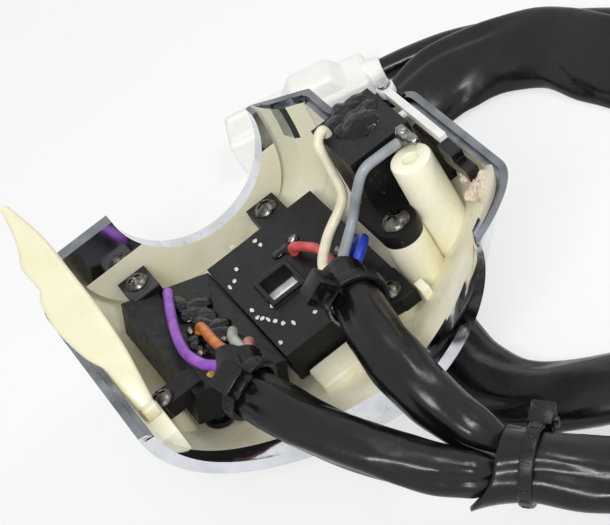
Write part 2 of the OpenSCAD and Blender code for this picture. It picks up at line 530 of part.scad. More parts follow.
module pass_terminal() color(steel) {
    translate([plate_x[1] - 2.8, plate_y[0] - 2, plate_low + 0.7]) cube([2, 2, 0.8]);
    translate([plate_x[1] - 1.6, plate_y[0] - 1, plate_low + 2]) sphere(r = 0.9);
}

// Screws
module pan_screw(p, long, head = screw_head_r) translate(p) {
    translate([0, 0, -long]) cylinder(r = screw_r, h = long + 0.2);
    difference() {
        intersection() {
            translate([0, 0, -head * 0.6]) sphere(r = head * 1.2);
            cylinder(r = head, h = 3);
        }
        for (b = [0, 90]) rotate([0, 0, b]) translate([-1, -0.2, 0.55]) cube([2, 0.4, 2]);
    }
}
module base_screws() color("#55575c") for (p = concat(turn_screws, horn_screws, dimmer_screws))
    pan_screw(p, lug_h + 3.4);
module pass_screw() color(steel) pan_screw(pass_screw_at, lug_h + 3.8, screw_head_r + 0.3);

// Potting and solder on the module tops
module dome(p, r, h) translate(p) intersection() {
    translate([0, 0, h - (r * r + h * h) / (2 * h)]) sphere(r = (r * r + h * h) / (2 * h));
    cylinder(r = r, h = h);
}
module turn_potting() color(black) turn_frame() dome([-6.8, -25.6, 0], 1.9, 0.9);
module pass_potting() color(black) dome([plate_x[0] + 5.4, -23, plate_top], 3, 1.1);

module lead(route, shade, up, sleeve) color(shade)
    tube(flowing(route, 2), lead_d / 2, 8, up, heading(sleeve, 0));
module lead_white() lead(white_route, white, [0, 0, 1], upper_route);
module lead_grey() lead(grey_route, "#9a9da2", [-1, 0, 0], upper_route);
module lead_red() lead(red_route, "#e4595b", [0, 0, 1], upper_route);
module lead_blue() lead(blue_route, "#2c46b4", [0, 0, 1], upper_route);
module lead_light_blue() lead(light_blue_route, "#a9dbe6", [0, 0, 1], upper_route);
module lead_purple() lead(purple_route, "#9a4fc0", turn_up, lower_route);
module lead_orange() lead(orange_route, "#d9812f", turn_up, lower_route);
module lead_silver() lead(silver_route, "#b9bdb6", turn_up, lower_route);
module lead_pink() lead(pink_route, "#e9a7a0", turn_up, lower_route);

// Cable ties, each a strap round a sleeve with its locking head
strap = [1.9, 0.8];
module tie(p, d, r, side) color(black) translate(p) facing(d) {
    difference() {
        translate([0, 0, -strap[0] / 2]) cylinder(r = r + strap[1], h = strap[0]);
        translate([0, 0, -2]) cylinder(r = r, h = 4);
    }
    rotate([0, 0, side]) translate([r + strap[1] / 2, -2, -1.7]) difference() {
        cube([3.4, 4, 3.4]);
        translate([0.9, 1, -past]) cube([1.4, 2, 3.4 + 2 * past]);
    }
}
tie_slack = 0.1;
module route_tie(p, i, share, r, side) tie(p[i] + share * (p[i + 1] - p[i]), heading(p, i), r + tie_slack, side);
module upper_tie() route_tie(upper_route, 0, 0.8, branch_d / 2, 215);
module lower_tie() route_tie(lower_route, 0, 0.42, branch_d / 2, 337);
module harness_tie() route_tie(harness_route, 0, 0.8, harness_d / 2, 95);
pinch_r = harness_d / 4 - 0.1;
module branch_sleeve(route) color(black) tube(route, branch_d / 2, 10, heading(route, 0), harness_way, pinch_r);
module upper_sleeve() branch_sleeve(upper_route);
module lower_sleeve() branch_sleeve(lower_route);
module main_harness() color(black) tube(harness_route, harness_d / 2, 10, harness_way, harness_end);
plug_way = [cos(plug_turn), sin(plug_turn), 0];
module plug_tail() color(black) tube(tail_route, tail_d / 2, 8, harness_end, plug_way);

// Plug at the end of the harness
plug_size = [26, 9, 7.2];
plug_low = -4.6;
plug_chamfer = 0.9;
plug_top = plug_low + plug_size[2];
latch_h = 3.2;
latch_sunk = 0.2;
latch_x = [3, 16];
latch_ramp = [2.6, 3.4];
latch_inset = 0.8;
collar_x = [17, 19];
collar_out = 0.9;
collar_step = 1;
cell = 2;
cell_pitch = 2.7;
cell_deep = 15;
module plug_place() translate(plug_from) rotate([0, 0, plug_turn]) children();
module plug_block() rotate([90, 0, 90]) linear_extrude(plug_size[0]) let (w = plug_size[1] / 2, c = plug_chamfer)
    polygon([[-w, plug_low + c], [c - w, plug_low], [w - c, plug_low], [w, plug_low + c], [w, plug_top - c], [w - c, plug_top],
        [c - w, plug_top], [-w, plug_top - c]]);
module plug_latch() let (foot = plug_top - latch_sunk)
    rotate([90, 0, 0]) linear_extrude(plug_size[1] - 2 * latch_inset, center = true)
        polygon([[latch_x[0], foot], [latch_x[1], foot], [latch_x[1] - latch_ramp[1], foot + latch_h],
            [latch_x[0] + latch_ramp[0], foot + latch_h]]);
module plug_housing() color(white) plug_place() difference() {
    union() {
        plug_block();
        plug_latch();
        translate([collar_x[0], -plug_size[1] / 2 - collar_out, plug_low])
            cube([collar_x[1] - collar_x[0], plug_size[1] + 2 * collar_out, plug_size[2] - collar_step]);
    }
    for (k = [-1:1], m = [0, 1]) plug_cell(k, m) translate([0, -cell / 2, -cell / 2]) cube([plug_size[0], cell, cell]);
}
module plug_cell(k, m) translate([plug_size[0] - cell_deep, k * cell_pitch, plug_low + plug_size[2] / 2 + (m - 0.5) * cell_pitch])
    children();
module plug_terminals() color(brass) plug_place() for (k = [-1:1], m = [0, 1]) plug_cell(k, m)
    translate([0, -0.3, -0.6]) cube([cell_deep - 3, 0.6, 1.2]);

housing_shell();
wire_guard();
turn_base();
turn_cover();
turn_carrier();
turn_knob();
turn_detent();
turn_bridge();
turn_rivet_set();
dimmer_base();
dimmer_cover();
dimmer_carrier();
dimmer_knob();
dimmer_detent();
horn_base();
horn_button();
horn_contact();
horn_spring();
pass_base();
pass_arm();
pass_trigger();
pass_plunger();
pass_pivot_pin();
pass_terminal();
base_screws();
pass_screw();
turn_potting();
pass_potting();
lead_white();
lead_grey();
lead_red();
lead_blue();
lead_light_blue();
lead_purple();
lead_orange();
lead_silver();
lead_pink();
upper_tie();
lower_tie();
harness_tie();
upper_sleeve();
lower_sleeve();
main_harness();
plug_tail();
plug_housing();
plug_terminals();
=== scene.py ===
"""Handlebar switch cluster: finishes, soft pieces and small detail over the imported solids."""
import math

import bmesh
import bpy
from mathutils import Matrix, Vector, noise


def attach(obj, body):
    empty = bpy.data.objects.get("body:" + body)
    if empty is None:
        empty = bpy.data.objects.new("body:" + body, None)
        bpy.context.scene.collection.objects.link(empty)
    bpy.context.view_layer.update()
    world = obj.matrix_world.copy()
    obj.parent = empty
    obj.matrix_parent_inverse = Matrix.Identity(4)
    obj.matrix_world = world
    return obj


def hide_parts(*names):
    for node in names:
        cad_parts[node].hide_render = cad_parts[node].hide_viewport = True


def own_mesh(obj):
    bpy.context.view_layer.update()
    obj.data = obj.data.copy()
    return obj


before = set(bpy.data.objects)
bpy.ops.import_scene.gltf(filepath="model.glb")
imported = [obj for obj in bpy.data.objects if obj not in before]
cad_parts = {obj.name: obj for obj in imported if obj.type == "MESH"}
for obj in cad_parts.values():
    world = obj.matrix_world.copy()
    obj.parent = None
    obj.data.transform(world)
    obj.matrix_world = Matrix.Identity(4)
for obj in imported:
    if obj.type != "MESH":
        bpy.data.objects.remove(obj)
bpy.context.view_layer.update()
scene = bpy.context.scene
MM = 0.001
FLOOR = -33.0


# Camera, floor and light

def place_camera():
    """A long lens above the open end, looking down into the housing along the bar."""
    lens = bpy.data.cameras.new("camera")
    lens.sensor_fit = "HORIZONTAL"
    lens.sensor_width = 36.0
    lens.lens = 121.7
    lens.clip_start = 0.01
    camera = bpy.data.objects.new("camera", lens)
    right = Vector((0.7857, -0.4520, -0.4222))
    up = Vector((0.6105, 0.4531, 0.6496))
    back = right.cross(up)
    spot = Vector((-24.9, -245.6, 172.2)) * MM
    turn = Matrix((right, up, back)).transposed().to_4x4()
    camera.matrix_world = Matrix.Translation(spot) @ turn
    scene.collection.objects.link(camera)
    scene.camera = camera


def seen_directly(tree):
    """One for rays from the camera, from polished metal and through clear pieces, else nought."""
    path = tree.nodes.new("ShaderNodeLightPath")
    total = path.outputs["Is Camera Ray"]
    for kind in ("Is Glossy Ray", "Is Transmission Ray"):
        either = tree.nodes.new("ShaderNodeMath")
        either.operation = "MAXIMUM"
        tree.links.new(total, either.inputs[0])
        tree.links.new(path.outputs[kind], either.inputs[1])
        total = either.outputs[0]
    return total


def light_room():
    """Pale room light, white to the eye, with a strip lamp behind the viewer and a weaker one opposite."""
    world = bpy.data.worlds.new("room")
    scene.world = world
    world.use_nodes = True
    tree = world.node_tree
    tree.nodes.clear()
    shown = tree.nodes.new("ShaderNodeBackground")
    shown.inputs["Color"].default_value = (1, 1, 1, 1)
    shown.inputs["Strength"].default_value = 1.0
    lit = tree.nodes.new("ShaderNodeBackground")
    lit.inputs["Color"].default_value = (1, 1, 1, 1)
    lit.inputs["Strength"].default_value = 0.58
    mix = tree.nodes.new("ShaderNodeMixShader")
    out = tree.nodes.new("ShaderNodeOutputWorld")
    tree.links.new(seen_directly(tree), mix.inputs[0])
    tree.links.new(lit.outputs[0], mix.inputs[1])
    tree.links.new(shown.outputs[0], mix.inputs[2])
    tree.links.new(mix.outputs[0], out.inputs[0])
    lamps = (("key", (-110, -330, 300), 1.1, (220, 50)), ("fill", (240, -120, 330), 0.3, (150, 50)))
    for name, spot, power, size in lamps:
        lamp = bpy.data.lights.new(name, "AREA")
        lamp.shape = "RECTANGLE"
        lamp.energy = power
        lamp.size, lamp.size_y = size[0] * MM, size[1] * MM
        holder = bpy.data.objects.new(name, lamp)
        place = Vector(spot) * MM
        holder.location = place
        holder.rotation_euler = (Vector((0, -0.03, -0.01)) - place).to_track_quat("-Z", "Y").to_euler()
        scene.collection.objects.link(holder)


def lay_floor():
    """Pale table that keeps the shadow of the part and else shows as white."""
    shape = bmesh.new()
    bmesh.ops.create_grid(shape, x_segments=1, y_segments=1, size=3.0)
    bmesh.ops.translate(shape, verts=shape.verts, vec=(0, 0, FLOOR * MM))
    mesh = bpy.data.meshes.new("floor")
    shape.to_mesh(mesh)
    shape.free()
    floor = bpy.data.objects.new("floor", mesh)
    scene.collection.objects.link(floor)
    paper = bpy.data.materials.new("pale_table")
    paper.use_nodes = True
    tree = paper.node_tree
    tree.nodes.clear()
    matt = tree.nodes.new("ShaderNodeBsdfDiffuse")
    matt.inputs["Color"].default_value = (0.93, 0.93, 0.93, 1)
    glow = tree.nodes.new("ShaderNodeEmission")
    glow.inputs["Color"].default_value = (1, 1, 1, 1)
    glow.inputs["Strength"].default_value = 1.0
    share = tree.nodes.new("ShaderNodeMath")
    share.operation = "MULTIPLY"
    share.inputs[1].default_value = 0.62
    mix = tree.nodes.new("ShaderNodeMixShader")
    out = tree.nodes.new("ShaderNodeOutputMaterial")
    tree.links.new(seen_directly(tree), share.inputs[0])
    tree.links.new(share.outputs[0], mix.inputs[0])
    tree.links.new(matt.outputs[0], mix.inputs[1])
    tree.links.new(glow.outputs[0], mix.inputs[2])
    tree.links.new(mix.outputs[0], out.inputs[0])
    mesh.materials.append(paper)


scene.view_settings.view_transform = "Standard"
place_camera()
light_room()
lay_floor()


# Finishes

def shade(code):
    """Linear colour of a six-figure paint code."""
    parts = [int(code[k:k + 2], 16) / 255 for k in (0, 2, 4)]
    return tuple(c / 12.92 if c <= 0.04045 else ((c + 0.055) / 1.055) ** 2.4 for c in parts) + (1.0,)


def grain_of(tree, size, detail=3.0, stretch=(1, 1, 1)):
    """Noise with features of a given size in millimetres, fixed to the piece."""
    where = tree.nodes.new("ShaderNodeTexCoord")
    pull = tree.nodes.new("ShaderNodeMapping")
    pull.inputs["Scale"].default_value = stretch
    grain = tree.nodes.new("ShaderNodeTexNoise")
    grain.inputs["Scale"].default_value = 1.0 / (size * MM)
    grain.inputs["Detail"].default_value = detail
    tree.links.new(where.outputs["Object"], pull.inputs["Vector"])
    tree.links.new(pull.outputs["Vector"], grain.inputs["Vector"])
    return grain.outputs["Fac"]


def between(tree, value, low, high, start=0.3, stop=0.7):
    """A value's middle range, spread from low to high."""
    spread = tree.nodes.new("ShaderNodeMapRange")
    spread.inputs["From Min"].default_value = start
    spread.inputs["From Max"].default_value = stop
    spread.inputs["To Min"].default_value = low
    spread.inputs["To Max"].default_value = high
    tree.links.new(value, spread.inputs["Value"])
    return spread.outputs["Result"]


def tint(tree, factor, first, second):
    """Colour between two others; each may be a code or another node's colour."""
    mix = tree.nodes.new("ShaderNodeMix")
    mix.data_type = "RGBA"
    tree.links.new(factor, mix.inputs["Factor"])
    for socket, colour in ((mix.inputs[6], first), (mix.inputs[7], second)):
        if isinstance(colour, str):
            socket.default_value = shade(colour)
        else:
            tree.links.new(colour, socket)
    return mix.outputs[2]


def raised(tree, height, depth_mm, strength=1.0, under=None):
    """Relief of a given depth in millimetres, over another relief if there is one."""
    bump = tree.nodes.new("ShaderNodeBump")
    bump.inputs["Strength"].default_value = strength
    bump.inputs["Distance"].default_value = depth_mm * MM
    tree.links.new(height, bump.inputs["Height"])
    if under:
        tree.links.new(under, bump.inputs["Normal"])
    return bump.outputs["Normal"]


def new_finish(name):
    finish = bpy.data.materials.new(name)
    finish.use_nodes = True
    return finish, finish.node_tree, finish.node_tree.nodes["Principled BSDF"]


def moulded(name, dark, light, rough, blotch=6.0, grain=0.25, relief=0.02, metal=0.0, glow=0.0, shine=0.5):
    """Common finish: mottled colour, uneven gloss and a fine skin."""
    finish, tree, look = new_finish(name)
    patches = grain_of(tree, blotch)
    fine = grain_of(tree, grain, 2.0)
    tree.links.new(tint(tree, between(tree, patches, 0, 1), dark, light), look.inputs["Base Color"])
    tree.links.new(between(tree, grain_of(tree, blotch * 0.4), rough[0], rough[1]), look.inputs["Roughness"])
    tree.links.new(raised(tree, fine, relief), look.inputs["Normal"])
    look.inputs["Metallic"].default_value = metal
    look.inputs["Specular IOR Level"].default_value = shine
    if glow:
        look.inputs["Subsurface Weight"].default_value = glow
        look.inputs["Subsurface Radius"].default_value = (1.0, 0.85, 0.5)
        look.inputs["Subsurface Scale"].default_value = 1.6 * MM
    return finish


def aged_ivory(name, deep, pale, stain, foot, rough, glow):
    """Ivory moulding that is stained where it is deep, from a given height in millimetres downward."""
    finish, tree, look = new_finish(name)
    ivory = tint(tree, between(tree, grain_of(tree, 9.0), 0, 1), deep, pale)
    place = tree.nodes.new("ShaderNodeTexCoord")
    parts = tree.nodes.new("ShaderNodeSeparateXYZ")
    tree.links.new(place.outputs["Object"], parts.inputs[0])
    depth = between(tree, parts.outputs["Z"], 1, 0.12, (foot - 9) * MM, foot * MM)
    mark = tree.nodes.new("ShaderNodeMath")
    mark.operation = "MULTIPLY"
    tree.links.new(depth, mark.inputs[0])
    tree.links.new(between(tree, grain_of(tree, 4.0, 5.0), 0.02, 0.5, 0.45, 0.75), mark.inputs[1])
    tree.links.new(tint(tree, mark.outputs[0], ivory, stain), look.inputs["Base Color"])
    tree.links.new(between(tree, grain_of(tree, 2.0), rough[0], rough[1]), look.inputs["Roughness"])
    tree.links.new(raised(tree, grain_of(tree, 1.6), 0.012), look.inputs["Normal"])
    look.inputs["Subsurface Weight"].default_value = glow
    look.inputs["Subsurface Radius"].default_value = (1.0, 0.9, 0.55)
    look.inputs["Subsurface Scale"].default_value = 1.5 * MM
    return finish


def plated(name, dark, light, rough):
    """Bright plating with faint handling marks."""
    finish, tree, look = new_finish(name)
    silver = tint(tree, between(tree, grain_of(tree, 5.0), 0, 1), dark, light)
    haze = between(tree, grain_of(tree, 0.8, 6.0, (1, 0.3, 1)), 0, 0.3, 0.6, 0.75)
    tree.links.new(tint(tree, haze, silver, "8d8e90"), look.inputs["Base Color"])
    tree.links.new(between(tree, grain_of(tree, 1.2, 5.0), rough[0], rough[1]), look.inputs["Roughness"])
    tree.links.new(raised(tree, grain_of(tree, 1.8), 0.008), look.inputs["Normal"])
    look.inputs["Metallic"].default_value = 1.0
    return finish


def dusty_black(name, dark, light, rough, dust):
    """Black moulding with settled dust."""
    finish, tree, look = new_finish(name)
    base = tint(tree, between(tree, grain_of(tree, 4.0), 0, 1), dark, light)
    specks = between(tree, grain_of(tree, 0.5, 6.0), 0, dust, 0.66, 0.74)
    worn = tint(tree, specks, base, "77746c")
    tree.links.new(worn, look.inputs["Base Color"])
    tree.links.new(between(tree, grain_of(tree, 1.5, 4.0), rough[0], rough[1]), look.inputs["Roughness"])
    skin = raised(tree, grain_of(tree, 0.22, 3.0), 0.03)
    tree.links.new(raised(tree, grain_of(tree, 2.2), 0.05, under=skin), look.inputs["Normal"])
    look.inputs["Specular IOR Level"].default_value = 0.3
    return finish


def soft_vinyl():
    """Slack black sleeving with a low sheen and fine handling creases."""
    finish, tree, look = new_finish("soft_vinyl")
    base = tint(tree, between(tree, grain_of(tree, 8.0), 0, 1), "09090a", "121215")
    lint = between(tree, grain_of(tree, 0.7, 6.0), 0, 0.3, 0.72, 0.78)
    tree.links.new(tint(tree, lint, base, "6b6762"), look.inputs["Base Color"])
    tree.links.new(between(tree, grain_of(tree, 3.0, 4.0), 0.18, 0.32), look.inputs["Roughness"])
    folds = raised(tree, grain_of(tree, 3.5, 2.0), 0.10)
    tree.links.new(raised(tree, grain_of(tree, 0.6), 0.012, under=folds), look.inputs["Normal"])
    look.inputs["Specular IOR Level"].default_value = 0.34
    return finish


FINISHES = {
    # One ivory plastic in two copies: the housing's is paler, painted light that offsets the shade inside the
    # housing; the tongue's is darker, painted shade that offsets the full lamp light on it.
    "ivory": aged_ivory("ivory_plastic", "f1edd0", "f8f5e3", "d0be8c", -9.0, (0.26, 0.4), 0.2),
    "tongue": aged_ivory("ivory_darkened_for_lamp", "dedab8", "e7e4c9", "cdc497", -2.0, (0.26, 0.4), 0.25),
    "plating": plated("bright_plating", "c9ccd1", "e2e4e8", (0.05, 0.16)),
    # The rim's darker plating colour is a painted dark reflection.
    "rim": plated("rim_dark_reflection", "686c71", "8f9398", (0.22, 0.38)),
    "module": dusty_black("module_black", "0a0a0c", "131315", (0.36, 0.54), 0.4),
    "knob": dusty_black("knob_black", "0a0a0b", "131314", (0.2, 0.34), 0.2),
    "tie": dusty_black("tie_black", "0d0d0e", "171719", (0.24, 0.4), 0.25),
    "vinyl": soft_vinyl(),
    "resin": moulded("resin_black", "050506", "0c0c0d", (0.06, 0.18), 1.2, 1.1, 0.3, shine=0.3),
    "solder": moulded("solder_grey", "6a6a68", "a3a29c", (0.2, 0.42), 0.8, 0.5, 0.06, metal=1.0),
    "nylon": moulded("nylon_white", "d9d8d4", "f0efec", (0.3, 0.45), 3.0, 0.3, 0.01, glow=0.1),
    "plug": moulded("nylon_cream", "f3f1ea", "fcfbf7", (0.34, 0.5), 5.0, 0.4, 0.015, glow=0.15),
    "board": moulded("cover_board", "5d3a1c", "8a5a2b", (0.5, 0.66), 2.0, 0.2, 0.03),
    "brass": moulded("contact_brass", "a7843c", "d8b866", (0.22, 0.4), 0.8, 0.2, 0.02, metal=1.0),
    "bright": moulded("steel_bright", "9b9ca0", "c9cacd", (0.14, 0.3), 0.9, 0.15, 0.02, metal=1.0),
    "dark": moulded("steel_dark", "3a3836", "77736e", (0.16, 0.34), 0.9, 0.15, 0.03, metal=1.0),
    "lining": moulded("sleeve_lining", "cfcabd", "eae7df", (0.5, 0.7), 2.0, 0.3, 0.05),
    "grease": moulded("dried_grease", "c3ad95", "e4d8c8", (0.5, 0.75), 0.7, 0.3, 0.25, glow=0.15),
    "speck": moulded("pale_specks", "c9c9c7", "f2f2f0", (0.4, 0.6), 0.6, 0.2, 0.02),
}
LEAD_SHADES = {
    "white": ("d8cfb2", "efe8d0"), "grey": ("7d8287", "9aa0a5"), "red": ("b8373c", "df6264"),
    "blue": ("14258a", "2b48c4"), "light_blue": ("86bccb", "b5dfe8"), "purple": ("7a35a8", "a866cf"),
    "orange": ("b5601e", "dc8a3c"), "silver": ("9ba29c", "c3c9c2"), "pink": ("c97c74", "ecaaa2"),
}
for colour, (deep, pale) in LEAD_SHADES.items():
    FINISHES["lead_" + colour] = moulded("lead_" + colour, deep, pale, (0.3, 0.46), 2.5, 0.3, 0.02, glow=0.08)


# Making of pieces

def finished(name, shape, finishes, body="housing", stands_for=(), crease=38.0):
    """Turns a shape drawn in millimetres into a piece that rides on a body."""
    bmesh.ops.scale(shape, vec=(MM, MM, MM), verts=shape.verts)
    mesh = bpy.data.meshes.new(name)
    shape.to_mesh(mesh)
    shape.free()
    mesh.shade_smooth()
    mesh.set_sharp_from_angle(angle=math.radians(crease))
    piece = bpy.data.objects.new(name, mesh)
    scene.collection.objects.link(piece)
    for finish in (finishes if isinstance(finishes, tuple) else (finishes,)):
        mesh.materials.append(FINISHES[finish])
    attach(piece, body)
    if stands_for:
        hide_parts(*stands_for)
    return piece


def flowing(route, cuts=6):
    """Smooth curve through the points of a route."""
    points = [Vector(p) for p in route]
    line = []
    for i in range(len(points) - 1):
        a, b = points[max(0, i - 1)], points[i]
        c, d = points[i + 1], points[min(len(points) - 1, i + 2)]
        for k in range(cuts):
            u = k / cuts
            line.append(0.5 * (2 * b + (c - a) * u + (2 * a - 5 * b + 4 * c - d) * u * u
                               + (3 * b - a - 3 * c + d) * u ** 3))
    return line + [points[-1]]


def headings(line):
    """Direction of a line at each of its points."""
    last = len(line) - 1
    return [(line[min(i + 1, last)] - line[max(i - 1, 0)]).normalized() for i in range(last + 1)]


def level_sides(line):
    """Level side and upward directions at each point of a line."""
    pairs = []
    for way in headings(line):
        side = way.cross(Vector((0, 0, 1)))
        side = side.normalized() if side.length > 0.05 else Vector((1, 0, 0))
        pairs.append((side, side.cross(way)))
    return pairs


def carried_sides(line):
    """Side and upward directions carried along a line without twist."""
    ways = headings(line)
    side = ways[0].cross(Vector((0, 0, 1)) if abs(ways[0].z) < 0.9 else Vector((0, 1, 0))).normalized()
    pairs = []
    for way in ways:
        side = (side - side.dot(way) * way).normalized()
        pairs.append((side, way.cross(side)))
    return pairs


def rolled(stations, around, place, capped=True):
    """Sheet of stations by turns, rolled into a tube by a placing rule and closed along its seam."""
    shape = bmesh.new()
    bmesh.ops.create_grid(shape, x_segments=around, y_segments=stations - 1, size=1.0)
    for v in shape.verts:
        turn = (v.co.x + 1) * math.pi
        v.co = place(round((v.co.y + 1) / 2 * (stations - 1)), turn)
    bmesh.ops.remove_doubles(shape, verts=shape.verts, dist=1e-4)
    if capped:
        bmesh.ops.holes_fill(shape, edges=[e for e in shape.edges if e.is_boundary], sides=0)
    bmesh.ops.recalc_face_normals(shape, faces=shape.faces)
    return shape


def tube(line, radius, around=14, capped=True):
    """Round tube along a line; the radius may be a rule of the station."""
    sides = carried_sides(line)
    size = radius if callable(radius) else (lambda i: radius)

    def place(i, turn):
        side, up = sides[i]
        return line[i] + size(i) * (math.cos(turn) * side + math.sin(turn) * up)
    return rolled(len(line), around, place, capped)


def joined(*shapes):
    """Several shapes in one."""
    whole = shapes[0]
    for other in shapes[1:]:
        mesh = bpy.data.meshes.new("part")
        other.to_mesh(mesh)
        other.free()
        whole.from_mesh(mesh)
        bpy.data.meshes.remove(mesh)
    return whole


def block(low, high, round_by=0.2, steps=2):
    """Box between two corners with rounded edges."""
    shape = bmesh.new()
    bmesh.ops.create_cube(shape, size=1.0)
    size = Vector(high) - Vector(low)
    bmesh.ops.scale(shape, vec=size, verts=shape.verts)
    bmesh.ops.translate(shape, vec=(Vector(high) + Vector(low)) / 2, verts=shape.verts)
    if round_by:
        bmesh.ops.bevel(shape, geom=shape.edges[:], offset=round_by, segments=steps, affect="EDGES",
                        profile=0.5, material=-1)
    return shape


def post(foot, top, r_foot, r_top, around=32):
    """Upright drafted peg."""
    shape = bmesh.new()
    bmesh.ops.create_cone(shape, cap_ends=True, segments=around, radius1=r_foot, radius2=r_top,
                          depth=top - foot[2])
    bmesh.ops.translate(shape, vec=(foot[0], foot[1], (top + foot[2]) / 2), verts=shape.verts)
    return shape


def blob(centre, size, lump=0.2, seed=0.0, up=None):
    """Uneven drop of resin or solder."""
    shape = bmesh.new()
    bmesh.ops.create_icosphere(shape, subdivisions=3, radius=1.0)
    for v in shape.verts:
        v.co *= 1 + lump * noise.noise(v.co * 1.7 + Vector((seed, seed * 2.3, 0)))
    bmesh.ops.scale(shape, vec=size, verts=shape.verts)
    if up:
        bmesh.ops.rotate(shape, matrix=Vector((0, 0, 1)).rotation_difference(Vector(up)).to_matrix(),
                         verts=shape.verts)
    bmesh.ops.translate(shape, vec=centre, verts=shape.verts)
    return shape


# Harness and plug

HARNESS = [(6.2, -66.4, -20.8), (9.6, -70, -22.4), (14.6, -74.6, -25), (23, -80.5, -27.8)] + [
    (x, y, -28.4) for x, y in (
        (34, -84), (46, -82.5), (59, -77), (70, -68), (77, -55), (78, -40), (73, -27), (66, -16), (62.4, -6),
        (59.7, 3.2), (53.8, 9.8), (45.6, 13.2), (36.7, 12.8), (28.8, 8.7), (24.2, 3.2), (21.6, -4), (19.6,
                -13),
        (17, -23), (14.4, -33), (13.4, -43), (16.4, -52), (25, -60.6), (36, -67), (48, -67.4), (57.6, -60.4),
        (62, -50))]
TAIL = [(62, -50, -28.4), (63.4, -46, -28), (66, -40.6, -24.6), (72, -37, -21.2), (80, -34.6, -21.2),
        (86.4, -30, -26), (86, -22, -29.6), (79, -12, -30.8), (73, -2, -30.8), (66.6, 8, -30.8), (59, 16.4,
                -30.8),
        (51.4, 21.4, -29.6), (44.3, 23.8, -28.6), (37.6, 26, -28.4)]
HARNESS_D = 9.2
TAIL_D = 4.0
BRANCH_D = 7.2
PLUG_TURN = 160.0
PLUG_LOW = -4.6
PLUG_SIZE = (26.0, 9.0, 7.2)
LATCH_H, LATCH_SUNK, LATCH_INSET = 3.2, 0.2, 0.8
LATCH_X, LATCH_RAMP = (3.0, 16.0), (2.6, 3.4)
COLLAR_X, COLLAR_OUT = (17.0, 19.0), 0.9
# Places along the plug and radii of the boot that takes the thin tube
BOOT = ((-2.4, 2.3), (-2.2, 2.5), (-1.2, 2.7), (0, 2.9), (0.8, 2.9))
CELL, CELL_PITCH, CELL_DEEP = 2.0, 2.7, 15.0
# At each point of the harness route: width of the slack sleeve, as a share of its diameter, and its lean
HARNESS_WIDE = [1.15, 1.1, 1.2, 1.24, 1.16, 1.22, 1.3, 1.18, 1.24] + [1.3, 1.42, 1.5, 1.52, 1.42, 1.34, 1.44,
        1.36, 1.25] + [1.14, 1.22, 1.3, 1.18, 1.12, 1.24, 1.3] + [
    1.2, 1.3, 1.24, 1.12, 0.98]
HARNESS_LEAN = 9 * [0.0] + [8.0, 24.0, 38.0, 42.0, 40.0, 36.0, 34.0, 24.0, 10.0] + 12 * [0.0]


def spot(route, right, up):
    """Spot on the mouth of a sleeve, to the right and upward of its middle."""
    way = (Vector(route[1]) - Vector(route[0])).normalized()
    side = Vector((0, 0, 1)).cross(way).normalized()
    return Vector(route[0]) + right * side + up * way.cross(side)


UPPER = [(6.6, -34.8, -7.6), (5.5, -40.6, -7.8), (4.3, -46.4, -8.6), (3.9, -51.4, -10.4), (4.3, -56.4, -13.4),
         (5.8, -61, -17.8), tuple(spot(HARNESS, 2.3, 0))]
LOWER = [(-11.6, -36, -6.4), (-13, -41, -7), (-11.2, -47.4, -9.2), (-8.2, -53.8, -11.8), (-5, -58.8, -14.4),
         (-1.2, -63.4, -17.4), (2, -66.2, -19.6), tuple(spot(HARNESS, -2.3, 0))]


def clip(u):
    return max(0.0, min(1.0, u))


def share_of(values, cuts, i):
    """Value at a station of a flowing line, eased between the values at its route's points."""
    k = min(i // cuts, len(values) - 2)
    u = min(1.0, (i - k * cuts) / cuts)
    u = u * u * (3 - 2 * u)
    return values[k] + (values[k + 1] - values[k]) * u


def length_of(line):
    return sum((b - a).length for a, b in zip(line, line[1:]))


def creased(turn, run, seed):
    """Depth of the long wandering valleys of a slack sleeve, as a share of its radius."""
    depth = 0.0
    for k in range(4):
        middle = 0.7 + 1.55 * k + 0.9 * noise.noise(Vector((run / 21.0, 7.1 * k, seed)))
        strong = clip(0.5 + 1.1 * noise.noise(Vector((run / 16.0, 3.7 * k + 40, seed))))
        away = math.remainder(turn - middle, math.tau) / 0.26
        depth += 0.2 * strong * math.exp(-away * away)
    return depth


def slack(line, cuts, radius, wide, crumple, seed, grounded=False, mouth=None, lean=None, sway=0.0, around=56,
          girth=None):
    """Slack flattened sleeve: wide and low where it is slack, with long soft creases."""
    sides = level_sides(line)
    run = [0.0]
    for a, b in zip(line, line[1:]):
        run.append(run[-1] + (b - a).length)

    def place(i, turn):
        side, up = sides[i]
        w = share_of(wide, cuts, i)
        drawn = radius * (share_of(girth, cuts, i) if girth else 1.0)
        broad, low = drawn * w, drawn * max(0.36, 2.0 - 1.02 * w)
        tilt = sway * math.sin(run[i] / 11.0 + seed)
        if lean:
            tilt += math.radians(share_of(lean, cuts, i))
        side, up = (math.cos(tilt) * side + math.sin(tilt) * up, math.cos(tilt) * up - math.sin(tilt) * side)
        flat = Vector((math.cos(turn) * 1.1, math.sin(turn) * 1.1, run[i] / 9.0 + seed))
        fold = noise.noise(flat) * 0.75 + 0.35 * noise.noise(Vector((flat.x * 2.3, flat.y * 2.3,
                                                                     run[i] / 4.0 - seed)))
        grow = 1 + crumple * fold - creased(turn, run[i], seed)
        out = math.cos(turn) * broad * grow * side + math.sin(turn) * low * grow * up
        base = line[i].copy()
        if grounded and base.z < FLOOR + radius + 0.2:
            base.z = FLOOR + math.hypot(broad * math.sin(tilt), low * math.cos(tilt))
        spotted = base + out
        if grounded and spotted.z < FLOOR + 0.05:
            spotted.z = FLOOR + 0.05
        if mouth and i < 8:
            spotted += mouth(turn) * (1 - i / 8) ** 2
        return spotted
    return rolled(len(line), around, place, capped=False)


def walled(piece, thick, inner=0):
    """Gives an open sleeve its wall, with a lining where it has one."""
    wall = piece.modifiers.new("wall", "SOLIDIFY")
    wall.thickness = thick * MM
    wall.offset = -1
    wall.material_offset = inner
    return piece


